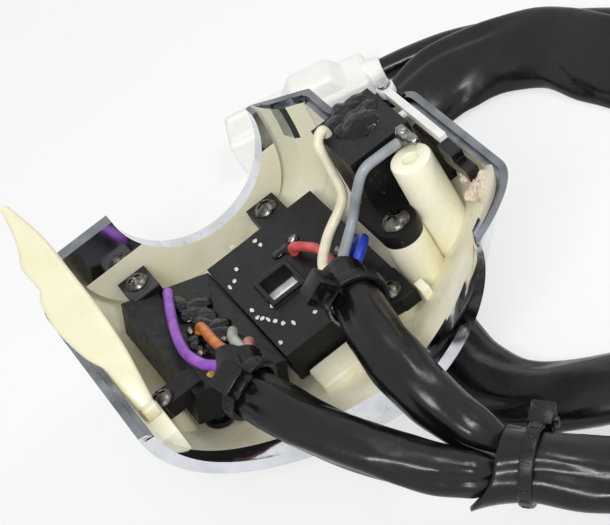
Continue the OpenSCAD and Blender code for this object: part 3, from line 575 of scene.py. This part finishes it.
CUTS = 7
harness_line = flowing(HARNESS, CUTS)
tail_line = flowing(TAIL, CUTS)


LIP_TURN = 5.75


def harness_lip(turn):
    """The lower corner of the harness mouth hangs open as a folded lip."""
    way = headings(harness_line)[0]
    side, up = level_sides(harness_line)[0]
    away = math.remainder(turn - LIP_TURN, math.tau) / 0.6
    outward = math.cos(turn) * side + math.sin(turn) * up
    return math.exp(-away * away) * (-2.6 * way + 2.2 * outward)


harness = finished("harness_sleeve", slack(harness_line, CUTS, HARNESS_D / 2, HARNESS_WIDE, 0.07, 3.1, True,
                                           harness_lip, HARNESS_LEAN),
                   ("vinyl", "lining"), stands_for=("main_harness",), crease=80)
walled(harness, 0.5, 1)


tail = finished("plug_tube", tube(tail_line, TAIL_D / 2, 20), "vinyl",
                stands_for=("plug_tail",), crease=80)


# Plug

def plug_to_place():
    return Matrix.Translation(Vector(TAIL[-1])) @ Matrix.Rotation(math.radians(PLUG_TURN), 4, "Z")


def plug_body():
    """Cream nylon plug: rounded box with a humped latch, a collar and a boot for the tube."""
    long, wide, high = PLUG_SIZE
    low, top = PLUG_LOW, PLUG_LOW + high
    body = block((0, -wide / 2, low), (long, wide / 2, top), 0.9, 4)
    latch = block((LATCH_X[0], LATCH_INSET - wide / 2, top - 1),
                  (LATCH_X[1], wide / 2 - LATCH_INSET, top - LATCH_SUNK + LATCH_H), 0, 1)
    for v in latch.verts:
        if v.co.z > top:
            v.co.x += LATCH_RAMP[0] if v.co.x < sum(LATCH_X) / 2 else -LATCH_RAMP[1]
            v.co.y *= 0.82
    bmesh.ops.bevel(latch, geom=latch.edges[:], offset=0.9, segments=4, affect="EDGES", profile=0.5,
                    material=-1)
    collar = block((COLLAR_X[0], -wide / 2 - COLLAR_OUT, low), (COLLAR_X[1], wide / 2 + COLLAR_OUT, top - 1),
                   0.5, 3)
    ribs = [block((20.4, y - 0.4, top - 0.5), (25.2, y + 0.4, top + 0.5), 0.25, 2) for y in (-2.6, 2.6)]
    boot = tube([Vector((x, 0, 0)) for x, r in BOOT], lambda i: BOOT[i][1], 24)
    shape = joined(body, latch, collar, boot, *ribs)
    bmesh.ops.transform(shape, matrix=plug_to_place(), verts=shape.verts)
    return shape


def plug_cells():
    """Rows of square cells, open at the mating end."""
    long, _, high = PLUG_SIZE
    cells = []
    for k in (-1, 0, 1):
        for m in (-0.5, 0.5):
            y, z = k * CELL_PITCH, PLUG_LOW + high / 2 + m * CELL_PITCH
            cells.append(block((long - CELL_DEEP, y - CELL / 2, z - CELL / 2),
                               (long + 1, y + CELL / 2, z + CELL / 2), 0))
    shape = joined(*cells)
    bmesh.ops.transform(shape, matrix=plug_to_place(), verts=shape.verts)
    bmesh.ops.scale(shape, vec=(MM, MM, MM), verts=shape.verts)
    return shape


def cut_away(piece, cutters, operation="DIFFERENCE"):
    """Cuts, joins or trims a piece by other shapes and keeps the result as its own mesh."""
    helpers = []
    for cutter in cutters:
        mesh = bpy.data.meshes.new("cutter")
        for finish in piece.data.materials:
            mesh.materials.append(finish)
        bmesh.ops.recalc_face_normals(cutter, faces=cutter.faces)
        cutter.to_mesh(mesh)
        cutter.free()
        helper = bpy.data.objects.new("cutter", mesh)
        scene.collection.objects.link(helper)
        helpers.append(helper)
        cut = piece.modifiers.new("cut", "BOOLEAN")
        cut.object = helper
        cut.operation = operation
        cut.solver = "EXACT"
        cut.use_self = True
    graph = bpy.context.evaluated_depsgraph_get()
    mesh = bpy.data.meshes.new_from_object(piece.evaluated_get(graph))
    piece.modifiers.clear()
    piece.data = mesh
    for helper in helpers:
        bpy.data.objects.remove(helper)
    return piece


plug = finished("plug_body", plug_body(), "plug", stands_for=("plug_housing",))
cut_away(plug, [plug_cells()])
plug.data.shade_smooth()
plug.data.set_sharp_from_angle(angle=math.radians(38))


# Branch sleeves

def branch_mouth(way):
    """A slack mouth, opened a little wider than the tie lets the sleeve be."""
    def flare(turn):
        return Vector((0.35 * math.cos(turn), 0.0, 0.3 * math.sin(turn))) - 0.5 * way * math.sin(turn * 2)
    return flare


BRANCH_WIDE = {"upper": [1.0, 0.98, 1.06, 1.1, 1.06, 1.02, 1.0],
               "lower": [1.0, 0.98, 1.08, 1.12, 1.12, 1.06, 1.02, 1.0]}
BRANCH_GIRTH = {"upper": [0.98, 0.97, 1.0, 1.02, 1.0, 0.92, 0.6],
                "lower": [0.98, 0.97, 1.0, 1.02, 1.02, 0.98, 0.85, 0.6]}


def branch(name, route, seed):
    line = flowing(route, 9)
    way = headings(line)[0]
    into = (Vector(HARNESS[1]) - Vector(HARNESS[0])).normalized()
    line += [line[-1] + into * k for k in (1.2, 2.4)]
    wide = BRANCH_WIDE[name]
    shape = slack(line, 9, BRANCH_D / 2, wide, 0.09, seed, mouth=branch_mouth(way), sway=0.5,
                  girth=BRANCH_GIRTH[name])
    piece = finished(name + "_branch", shape, ("vinyl", "vinyl"),
                     stands_for=(name + "_sleeve",), crease=80)
    return walled(piece, 0.45, 1)


upper_branch = branch("upper", UPPER, 1.7)
lower_branch = branch("lower", LOWER, 5.9)


# Ties

STRAP = (1.9, 0.8)


def tie(route, i, share, r, side):
    """Ribbed strap round a sleeve, with its locking head and the cut end of the strap."""
    at = Vector(route[i]).lerp(Vector(route[i + 1]), share)
    way = (Vector(route[i + 1]) - Vector(route[i])).normalized()
    band = bmesh.new()
    bmesh.ops.create_grid(band, x_segments=1, y_segments=1, size=0.5)
    bmesh.ops.scale(band, vec=(STRAP[1], STRAP[0], 1), verts=band.verts)
    bmesh.ops.rotate(band, matrix=Matrix.Rotation(math.radians(90), 3, "X"), verts=band.verts)
    bmesh.ops.bevel(band, geom=band.verts[:], offset=0.22, segments=3, affect="VERTICES", profile=0.5,
                    material=-1)
    bmesh.ops.translate(band, vec=(r + STRAP[1] / 2, 0, 0), verts=band.verts)
    edges = band.edges[:]
    bmesh.ops.delete(band, geom=band.faces[:], context="FACES_ONLY")
    bmesh.ops.spin(band, geom=edges + band.verts[:], cent=(0, 0, 0), axis=(0, 0, 1), angle=math.tau, steps=56,
                   use_merge=True)
    bmesh.ops.remove_doubles(band, verts=band.verts, dist=1e-4)
    bmesh.ops.recalc_face_normals(band, faces=band.faces)
    rungs = []
    for k in range(14):
        rung = block((r + STRAP[1] - 0.1, -0.22, -0.55), (r + STRAP[1] + 0.12, 0.22, 0.55), 0.08, 1)
        bmesh.ops.rotate(rung, matrix=Matrix.Rotation(math.radians(side + 40 + 20 * k), 3, "Z"),
                         verts=rung.verts)
        rungs.append(rung)
    head = block((r + STRAP[1] / 2, -2, -1.7), (r + STRAP[1] / 2 + 3.4, 2, 1.7), 0)
    for facing in (-1, 1):
        face = next(f for f in head.faces if f.normal.z * facing > 0.9)
        bmesh.ops.inset_region(head, faces=[face], thickness=0.75)
        bmesh.ops.translate(head, vec=(0, 0, -0.9 * facing), verts=face.verts)
    outer = [e for e in head.edges if e.calc_face_angle(0) > 1.2]
    bmesh.ops.bevel(head, geom=outer, offset=0.22, segments=2, affect="EDGES", profile=0.5, material=-1)
    stub = block((r + STRAP[1] / 2 + 1.2, -0.9, 0.2), (r + STRAP[1] / 2 + 2.0, 0.9, 2.3), 0.15, 2)
    for part in (head, stub):
        bmesh.ops.rotate(part, matrix=Matrix.Rotation(math.radians(side), 3, "Z"), verts=part.verts)
    shape = joined(band, head, stub, *rungs)
    turn = Matrix.Rotation(math.atan2(way.y, way.x), 4, "Z") @ Matrix.Rotation(math.acos(way.z), 4, "Y")
    bmesh.ops.transform(shape, matrix=Matrix.Translation(at) @ turn, verts=shape.verts)
    return shape


TIES = {"upper_tie": (UPPER, 0, 0.8, BRANCH_D / 2 + 0.1, 215),
        "lower_tie": (LOWER, 1, 0.05, BRANCH_D / 2 + 0.1, 200),
        "harness_tie": (HARNESS, 0, 0.8, HARNESS_D / 2 + 0.1, 95)}
tie_pieces = {name: finished(name + "_strap", tie(*facts), "tie", stands_for=(name,))
              for name, facts in TIES.items()}

length_of(harness_line) * MM
length_of(tail_line) * MM


# Housing

BAR_R, END_WALL, WALL = 12.8, 2.2, 1.9
LEFT_W, RIGHT_W, NECK_W = 28.5, 31.0, 21.4
DEPTH, FAR_DEPTH, NEAR_DEPTH = 23.2, 17.6, 19.5
SHELL_LEN, LEFT_LEN = 54.4, 43.9
CORNER_CUT, CORNER_LEN, SHOULDER_LEN, SHOULDER_LIP = 6.7, 12.0, 5.6, 0.8
SWELL_FROM, SWELL_LEN, NEAR_CUT, NEAR_CORNER_LEN = 13.0, 9.0, 10.3, 10.0
NEAR_FROM, NEAR_LEN, BOWL = 26.0, 20.0, 28.0
BELLY, LEFT_BELLY, RIGHT_BELLY, BELLY_FROM, BELLY_LEN = 2.8, 2.1, 1.6, 30.0, 17.0
TURN_TILT, VALLEY_X, VALLEY_DROP = 22.0, -6.0, 13.5
END_SLOPE = (SHELL_LEN - LEFT_LEN) / (LEFT_W + RIGHT_W - NEAR_CUT)


def ease(u):
    return clip(u) ** 2 * (3 - 2 * clip(u))


def left_at(a):
    return LEFT_W - CORNER_CUT * clip(1 - a / CORNER_LEN) ** 2


def right_at(a, k=0.0):
    return (NECK_W - (NECK_W - BAR_R - SHOULDER_LIP) * clip(1 - a / SHOULDER_LEN)
            + (RIGHT_W - NECK_W) * ease((a - SWELL_FROM) / SWELL_LEN)
            - NEAR_CUT * clip(1 - (SHELL_LEN - a) / (NEAR_CORNER_LEN + BOWL * k)) ** 2)


def depth_at(a):
    return (DEPTH - (DEPTH - FAR_DEPTH) * clip(1 - a / CORNER_LEN) ** 2
            - (DEPTH - NEAR_DEPTH) * ease((a - NEAR_FROM) / NEAR_LEN))


def belly_at(a, x):
    return BELLY - (BELLY - (LEFT_BELLY if x < 0 else RIGHT_BELLY)) * ease((a - BELLY_FROM) / BELLY_LEN)


def skin(a, t):
    """Point of the outer skin: t runs from the left rim (0) under the belly to the right rim (180)."""
    c, k = math.cos(math.radians(t)), max(0.0, math.sin(math.radians(t)))
    k = 0.0 if k < 1e-9 else k
    e = 2 / belly_at(a, -c)
    x = -left_at(a) * c ** e if c >= 0 else right_at(a, k) * (-c) ** e
    return Vector((x, -a, -depth_at(a) * k ** e))


def lining(a, t):
    """Point of the inner skin, one wall in from the outer one."""
    along = skin(a + 0.1, t) - skin(a - 0.1, t)
    if t <= 0 or t >= 180:
        s = 1 if t < 90 else -1
        inward = Vector((-along.y * s, along.x * s, 0)).normalized()
    else:
        inward = along.cross(skin(a, min(180, t + 0.6)) - skin(a, max(0, t - 0.6))).normalized()
    return skin(a, t) + WALL * inward


def end_y(x):
    """Slanted plane of the open end."""
    return -LEFT_LEN - END_SLOPE * (x + LEFT_W)


def end_of(rule, t):
    """Distance from the seat wall at which a skin meets the open end."""
    a = LEFT_LEN
    for _ in range(30):
        a += 0.6 * (-end_y(rule(a, t).x) - a)
    return a


TURNS, STATIONS = 128, 96
IVORY, PLATING, RIM = range(3)
PLATED_END, PLATED_SEAT = 4.0, -6.4


def inner_coat(p):
    """Plating wraps a little way in at the open end and at the right shoulder."""
    at_end = p.y - end_y(p.x) < PLATED_END
    at_shoulder = p.y > -SHOULDER_LEN + 0.6 and p.z > PLATED_SEAT and p.x > 0
    return PLATING if at_end or at_shoulder else IVORY


def skin_sheet(shape, rule, start, coat=lambda p: PLATING):
    """Sheet of one skin of the housing with its coat; returns its four edge runs."""
    grid = bmesh.ops.create_grid(shape, x_segments=TURNS, y_segments=STATIONS, size=1.0)["verts"]
    ends = [end_of(rule, 180 * j / TURNS) for j in range(TURNS + 1)]
    marks = {}
    for v in grid:
        j = round((v.co.x + 1) / 2 * TURNS)
        i = round((v.co.y + 1) / 2 * STATIONS)
        marks[v] = (j, i)
        t = 180 * j / TURNS
        p = rule(start + (ends[j] - start) * i / STATIONS, t)
        if i == 0:
            p.y = -start
        elif i == STATIONS:
            p.y = end_y(p.x)
        else:
            p.y = min(p.y, -start - 0.05 * i)
        v.co = p
    for face in {f for v in grid for f in v.link_faces}:
        face.material_index = coat(face.calc_center_median())
    runs = {"left": [], "right": [], "far": [], "near": []}
    for e in shape.edges:
        if e.verts[0] in marks and e.verts[1] in marks:
            (j0, i0), (j1, i1) = marks[e.verts[0]], marks[e.verts[1]]
            if j0 == j1 == 0:
                runs["left"].append(e)
            elif j0 == j1 == TURNS:
                runs["right"].append(e)
            elif i0 == i1 == 0:
                runs["far"].append(e)
            elif i0 == i1 == STATIONS:
                runs["near"].append(e)
    return runs


LIP_SHARE, LEDGE_DROP = 0.56, 0.7


def stepped_rim(shape, outer_run, inner_run):
    """Rim of one side: an outer lip with a ledge a step below it."""
    outer, inner = (sorted({v for e in run for v in e.verts}, key=lambda v: v.co.y) for run in (outer_run,
            inner_run))
    for v in inner:
        v.co.z -= LEDGE_DROP
    lip, ledge = [], []
    for a, b in zip(outer, inner):
        level = Vector((b.co.x, b.co.y, a.co.z))
        lip.append(shape.verts.new(a.co.lerp(level, LIP_SHARE)))
        ledge.append(shape.verts.new(lip[-1].co - Vector((0, 0, LEDGE_DROP))))
    rows = (outer, lip, ledge, inner)
    for one, two in zip(rows, rows[1:]):
        for i in range(len(outer) - 1):
            shape.faces.new((one[i], one[i + 1], two[i + 1], two[i])).material_index = RIM
    for i in (0, -1):
        shape.faces.new([row[i] for row in rows]).material_index = PLATING


def shell_wall():
    shape = bmesh.new()
    outside = skin_sheet(shape, skin, 0.0)
    inside = skin_sheet(shape, lining, END_WALL, inner_coat)
    for run, coat in (("near", PLATING), ("far", IVORY)):
        for face in bmesh.ops.bridge_loops(shape, edges=outside[run] + inside[run])["faces"]:
            face.material_index = coat
    for run in ("left", "right"):
        stepped_rim(shape, outside[run], inside[run])
    bmesh.ops.recalc_face_normals(shape, faces=shape.faces)
    return shape


def skin_solid():
    """Solid of the outer skin, which trims the pegs that stand on the housing floor."""
    shape = bmesh.new()
    runs = skin_sheet(shape, skin, 0.0)
    bmesh.ops.bridge_loops(shape, edges=runs["left"] + runs["right"])
    bmesh.ops.holes_fill(shape, edges=[e for e in shape.edges if e.is_boundary], sides=0)
    bmesh.ops.recalc_face_normals(shape, faces=shape.faces)
    return shape


def seat_wall():
    """End wall that carries the half-round seat."""
    shape = bmesh.new()
    rim = [shape.verts.new(skin(0.0, 180 * j / TURNS)) for j in range(TURNS + 1)]
    face = shape.faces.new(rim)
    thick = bmesh.ops.extrude_face_region(shape, geom=[face])
    bmesh.ops.translate(shape, vec=(0, -END_WALL - 0.02, 0),
                        verts=[g for g in thick["geom"] if isinstance(g, bmesh.types.BMVert)])
    bmesh.ops.recalc_face_normals(shape, faces=shape.faces)
    bmesh.ops.bisect_plane(shape, geom=shape.verts[:] + shape.edges[:] + shape.faces[:],
                           plane_co=(0, 0, PLATED_SEAT),
                           plane_no=(0, 0, 1), dist=1e-5)
    for f in shape.faces:
        middle = f.calc_center_median()
        facing_in = f.normal.y < -0.9 and middle.z < PLATED_SEAT
        f.material_index = IVORY if facing_in else RIM if f.normal.z > 0.9 else PLATING
    return shape


LUG_H, SCREW_R = 2.4, 0.9
SCREWS = {"turn": (-15.2, -5.4, -9.0), "horn": (-22.8, -30.6, -8.2), "dimmer_far": (6.6, -5.0, -13.0),
          "dimmer_near": (10.6, -36.4, -13.0), "pass": (16.8, -34.0, -6.0)}
COVER_BOSS = (23.0, -33.3, 0.6)
GUARD_SEAT = -5.4
# Stems of the two sliders and of the button: the turn and horn ones in the tilted frame of the turn module
TURN_STEM, HORN_STEM, DIMMER_STEM, STEM_ROOM = (-7.4, -18.35), (-10.1, -31.35), (0.4, -22.6), 1.5


def floor_pegs():
    """Bosses, ribs and rests that stand on the housing floor."""
    pegs = []
    for name, p in SCREWS.items():
        r = {"horn": 1.6, "pass": 3.0}.get(name, 2.3)
        pegs.append(post((p[0], p[1], -DEPTH), p[2] - LUG_H, r + 0.25, r))
    pegs.append(block((COVER_BOSS[0], COVER_BOSS[1] - 0.6, -DEPTH), (RIGHT_W, COVER_BOSS[1] + 0.6, -13),
                      0.15))
    pegs.append(block((-26.4, -40.6, -DEPTH), (-23.6, -33, GUARD_SEAT), 0.3))
    pegs.append(block((-4.6, -39.4, -DEPTH), (3.4, -34.4, -DEPTH + 6.2), 0.5, 3))
    pegs.append(post((9.4, -43, -DEPTH), -DEPTH + 5, 2.2, 2.0))
    pegs.append(block((13.6, -40.4, -DEPTH), (15, -38, -13.2), 0.25))
    return pegs


def turn_frame():
    return Matrix.Translation((VALLEY_X, 0, -VALLEY_DROP)) @ Matrix.Rotation(math.radians(TURN_TILT), 4, "Y")


def openings():
    """Seat, slider slots, button hole, trigger window and screw pilots."""
    seat = bmesh.new()
    bmesh.ops.create_cone(seat, cap_ends=True, segments=160, radius1=BAR_R, radius2=BAR_R,
                          depth=END_WALL + 1.4)
    bmesh.ops.rotate(seat, matrix=Matrix.Rotation(math.radians(90), 3, "X"), verts=seat.verts)
    bmesh.ops.translate(seat, vec=(0, 1 - (END_WALL + 1.4) / 2, 0), verts=seat.verts)
    for f in seat.faces:
        f.material_index = PLATING
    x, y = TURN_STEM
    turn_slot = block((x - STEM_ROOM, y - 6.2, -14), (x + STEM_ROOM, y + 6.2, -7), 0)
    horn_hole = post((HORN_STEM[0], HORN_STEM[1], -14), -7.5, STEM_ROOM, STEM_ROOM)
    for part in (turn_slot, horn_hole):
        bmesh.ops.transform(part, matrix=turn_frame(), verts=part.verts)
    x, y = DIMMER_STEM
    dimmer_slot = block((x - STEM_ROOM, y - 2.2, -DEPTH - 1), (x + STEM_ROOM, y + 5.2, -DEPTH + 2.9), 0)
    trigger_window = block((RIGHT_W - 6, -30.8, -9.6), (RIGHT_W + 4, -26, -7.6), 0)
    snap_window = block((RIGHT_W - 4, -36.4, -4.2), (RIGHT_W + 4, -27.8, -2), 0)
    pilots = [post((p[0], p[1], p[2] - LUG_H - 4.5), p[2] - LUG_H + 1.5, SCREW_R + 0.02, SCREW_R + 0.02, 24)
              for p in SCREWS.values()]
    return [joined(seat, turn_slot, horn_hole, dimmer_slot, trigger_window, snap_window, *pilots)]


def build_housing():
    pegs = floor_pegs()
    fittings = finished("fittings", joined(*pegs), "ivory")
    trim = skin_solid()
    bmesh.ops.scale(trim, vec=(MM, MM, MM), verts=trim.verts)
    cut_away(fittings, [trim], "INTERSECT")
    housing = finished("housing_body", shell_wall(), ("ivory", "plating", "rim"),
                       stands_for=("housing_shell",))
    standing = bmesh.new()
    standing.from_mesh(fittings.data)
    bpy.data.objects.remove(fittings)
    plate = seat_wall()
    cuts = openings()
    for part in [plate] + cuts:
        bmesh.ops.scale(part, vec=(MM, MM, MM), verts=part.verts)
    cut_away(housing, [plate, standing], "UNION")
    cut_away(housing, cuts)
    shape = bmesh.new()
    shape.from_mesh(housing.data)
    bmesh.ops.remove_doubles(shape, verts=shape.verts, dist=2e-6)
    shape.to_mesh(housing.data)
    shape.free()
    housing.data.shade_smooth()
    housing.data.set_sharp_from_angle(angle=math.radians(32))
    return housing


build_housing()


def wall_at(x, y):
    """Height of the middle of the housing wall under a spot on its right side."""
    low, high = 90.0, 180.0
    for _ in range(40):
        t = (low + high) / 2
        low, high = (t, high) if skin(-y, t).x < x else (low, t)
    return skin(-y, low).z + WALL / 2


def cover_boss():
    """Tall drafted boss with the pilot hole of the cover's screw; its foot follows the wall."""
    x, y, top = COVER_BOSS
    rings = ((3.3, None), (3.02, top - 0.4), (2.9, top - 0.1), (2.62, top), (1.25, top), (1.1, top - 0.2),
             (1.1, top - 9))

    def place(i, turn):
        r, z = rings[i]
        px, py = x + r * math.cos(turn), y + r * math.sin(turn)
        return Vector((px, py, wall_at(px, py) if z is None else z))
    finished("cover_boss", rolled(len(rings), 48, place), "ivory")


cover_boss()


# Wire guard

GUARD_ROWS = [(-26.2, -23.8, -34.4, -4.8), (-26.4, -23, -31.4, -1.6), (-26.5, -22.5, -28.8, 0.1),
              (-27.6, -22.2, -26.2, 1.7),
              (-28.4, -21.9, -21.4, 4.6), (-27.8, -21.9, -17.8, 7), (-26.9, -21.9, -16.4, 8), (-27, -21.9,
                      -13.2, 10.2),
              (-25.8, -22.1, -11, 11.6), (-25, -22.6, -8.6, 13.2), (-24.4, -23.3, -6, 15)]
GUARD_H = 1.7


def wire_guard():
    """Translucent tongue with a soft edge that stands on the left wall."""
    left = flowing([(r[0], r[2], r[3]) for r in GUARD_ROWS], 6)
    right = flowing([(r[1], r[2], r[3]) for r in GUARD_ROWS], 6)
    rise = Vector((0, -0.55, 0.83)) * GUARD_H

    def place(i, turn):
        c, s = math.cos(turn), math.sin(turn)
        across = math.copysign(abs(c) ** 0.55, c)
        through = math.copysign(abs(s) ** 0.8, s)
        middle = (left[i] + right[i]) / 2
        return middle + (right[i] - left[i]) / 2 * across + rise * (0.5 + 0.5 * through)
    blade = rolled(len(left), 36, place)
    foot = block((-26, -36.4, GUARD_SEAT), (-23.8, -33.2, GUARD_SEAT + 2), 0.3, 2)
    return joined(blade, foot)


finished("guard_tongue", wire_guard(), "tongue", stands_for=("wire_guard",), crease=50)


# Leads

def turn_foot(x, y, lift=0.0):
    p = turn_frame() @ Vector((x, 0, lift))
    return (p.x, y, p.z)


LEADS = {
    "white": [(17.4, -20.6, 2.6), (16.9, -21, 4), (15.3, -21.8, 3), (14.7, -23.6, -0.8), (13.6, -25.6, -4),
              (9, -27, -6.4), (5.6, -31, -6.6), spot(UPPER, -1.7, 0.8)],
    "grey": [(23.4, -30.2, 1.5), (20.4, -30.2, 1.6), (17.2, -30.3, 1.4), (14.6, -30, -1.6), (12.4, -30, -4.6),
             (9, -32.2, -6), spot(UPPER, 0.3, 1.6)],
    "red": [(5.1, -17.4, -13), (5.4, -18, -11.6), (7.4, -22.6, -10.8), (7.2, -28, -10),
            spot(UPPER, -0.7, -1.6)],
    "blue": [(10.6, -25.6, -13), (10.8, -26.2, -11.4), (12.4, -30, -8.2), (11, -32.8, -7),
             spot(UPPER, 2, 0.4)],
    "light_blue": [(9.4, -27.4, -13), (9.4, -28.2, -11.6), (9, -31, -9.8), spot(UPPER, 1.1, -1.4)],
    "purple": [turn_foot(-7.6, -11), turn_foot(-7.8, -11.4, 1.2), (-15.2, -20, -7.8), (-16.4, -27, -7),
               (-15.6, -32, -6.6), spot(LOWER, -2.2, 0)],
    "orange": [turn_foot(-7.4, -21.4), turn_foot(-7.3, -22, 1.3), (-12.4, -29, -7.4), spot(LOWER, -0.5, 1)],
    "silver": [turn_foot(-4.1, -24.8), turn_foot(-4.1, -25.4, 1.3), (-10.2, -31, -7.2),
               spot(LOWER, 1.2, 1.4)],
    "pink": [turn_foot(-3, -28.4), turn_foot(-3.2, -28.9, 1.2), (-9.2, -32.4, -8.4), spot(LOWER, 1.7, -0.6)],
}
LEAD_R = 0.75
UPPER_LEADS = ("white", "grey", "red", "blue", "light_blue")
for colour, route in LEADS.items():
    sleeve = UPPER if colour in UPPER_LEADS else LOWER
    into = (Vector(sleeve[1]) - Vector(sleeve[0])).normalized()
    line = flowing([Vector(p) for p in route] + [Vector(route[-1]) + 2.6 * into], 8)
    finished("wire_" + colour, tube(line, LEAD_R, 16), "lead_" + colour,
             stands_for=("lead_" + colour,), crease=80)


# Resin, solder and crumbs on the switch blocks

TURN_UP = turn_frame().to_3x3() @ Vector((0, 0, 1))
ROOF_TOP, PLATE_TOP = -13.0, 2.6


def drops(name, finish, spots, size, lump=0.25, up=None):
    """Scattered drops of one stuff, each a little different from the others."""
    lumps = []
    for k, p in enumerate(spots):
        grow = 1 + 0.22 * math.sin(2.4 * k + size[0])
        lumps.append(blob(p, (size[0] * grow, size[1] / grow, size[2]), lump, 1.3 * k, up))
    finished(name, joined(*lumps), finish, crease=60)


drops("rivet_resin", "resin",
      [turn_foot(x, y, 0.15) for x,
       y in ((-4.8, -21.4), (-5, -18.4), (-4.8, -15.2), (-6.6, -16.8), (-6.2, -20.1),
                                          (-5.6, -23.2), (-7.2, -13.2))], (2.0, 1.9, 0.66), 0.14, TURN_UP)
drops("stray_resin", "resin",
      [turn_foot(x, y) for x, y in ((-8.6, -22.6), (-8.9, -25.6), (-10, -27.4), (-9, -24), (-7.6, -10))],
      (1.1, 1.3, 0.5), 0.2, TURN_UP)
drops("turn_solder", "solder",
      [turn_foot(x, y, 0.3) for x, y in ((-5.4, -25.3), (-3.3, -30.2), (-8.6, -20.6), (-9.4, -26.4))],
      (0.6, 0.7, 0.5), 0.2, TURN_UP)
drops("dimmer_solder", "solder", [(6.3, -15.2, ROOF_TOP + 0.3), (9.6, -23.6, ROOF_TOP + 0.3)],
      (0.8, 0.8, 0.7), 0.2)
drops("dimmer_resin", "resin",
      [(x, y, ROOF_TOP) for x, y in ((3.8, -15.4), (4.9, -15.6), (6.4, -17), (8.9, -25), (10.9, -24.2))],
      (1.3, 1.2, 0.55), 0.16)
drops("plate_resin", "resin",
      [(x, y, PLATE_TOP) for x,
       y in ((23.3, -18.5), (21.2, -18.4), (21.5, -20.9), (23.7, -21.1), (21.1, -23.8),
                                      (19.6, -19.6), (22.4, -22.6), (19.4, -22.2))], (1.7, 1.9, 0.42), 0.14)
drops("terminal_solder", "solder",
      [(24.7, -29.2, 2.1), (24.7, -30.6, 2.1), (24.9, -31.9, 2)], (0.9, 1.2, 0.7), 0.2)
drops("grease_lump", "grease",
      [(27, -41, -1.6), (26.9, -43, -1.8), (27.2, -44.6, -1.8), (25.6, -43.9, -2), (26.2, -45.6, -2),
       (28, -43.2, -1.4)],
      (1.0, 1.2, 0.9), 0.6)
drops("crumbs", "speck",
      [(x, y, ROOF_TOP + 0.04) for x, y in (
          (-2.7, -12.2), (-4.1, -14.1), (-5.2, -14.6), (2.1, -9.6), (2.3, -11.1), (-5.1, -21.7), (-4.8,
                  -24.5),
          (-4.3, -25.5), (-3.7, -26.7), (-3.1, -28.1), (-2, -29.4), (-5.2, -23.7), (-2.6, -23.7), (-5.2, -31),
          (1.2, -30.4), (4.6, -33.2), (-1, -7.4), (3.4, -31.6))], (0.28, 0.42, 0.07), 0.5)


# Finishes of the rigid nodes

def dressed(node, finish, round_by=0.0, steps=2):
    """Gives a CAD node its finish and, where it is moulded, softly rounded edges."""
    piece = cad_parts[node]
    piece.data.materials.clear()
    piece.data.materials.append(FINISHES[finish])
    if round_by:
        weld = piece.modifiers.new("weld", "WELD")
        weld.merge_threshold = 0.002 * MM
        soft = piece.modifiers.new("soft_edges", "BEVEL")
        soft.limit_method = "ANGLE"
        soft.angle_limit = math.radians(35)
        soft.width = round_by * MM
        soft.segments = steps
        soft.harden_normals = False


for node, finish, round_by in (
        ("turn_base", "module", 0.22), ("dimmer_base", "module", 0.22), ("horn_base", "module", 0.2),
        ("pass_base", "module", 0.2), ("turn_cover", "board", 0), ("dimmer_cover", "board", 0),
        ("turn_carrier", "nylon", 0.1), ("dimmer_carrier", "nylon", 0.12), ("turn_knob", "knob", 0.4),
        ("dimmer_knob", "knob", 0.4), ("turn_detent", "bright", 0), ("dimmer_detent", "bright", 0),
        ("turn_bridge", "brass", 0), ("turn_rivet_set", "brass", 0.08), ("horn_button", "knob", 0.25),
        ("horn_contact", "brass", 0), ("pass_arm", "nylon", 0.12),
        ("pass_trigger", "knob", 0.15), ("pass_plunger", "nylon", 0), ("pass_pivot_pin", "bright", 0.06),
        ("pass_terminal", "solder", 0), ("base_screws", "dark", 0.05), ("pass_screw", "dark", 0.05),
        ("turn_potting", "resin", 0), ("pass_potting", "resin", 0), ("plug_terminals", "brass", 0)):
    dressed(node, finish, round_by)


def spring_coil():
    """Return spring of the horn button."""
    shape = bmesh.new()
    shape.from_mesh(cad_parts["horn_spring"].data)
    bmesh.ops.remove_doubles(shape, verts=shape.verts, dist=1e-7)
    bmesh.ops.scale(shape, vec=(1 / MM, 1 / MM, 1 / MM), verts=shape.verts)
    coil = finished("spring_coil", shape, "bright", stands_for=("horn_spring",))
    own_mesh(coil)


spring_coil()
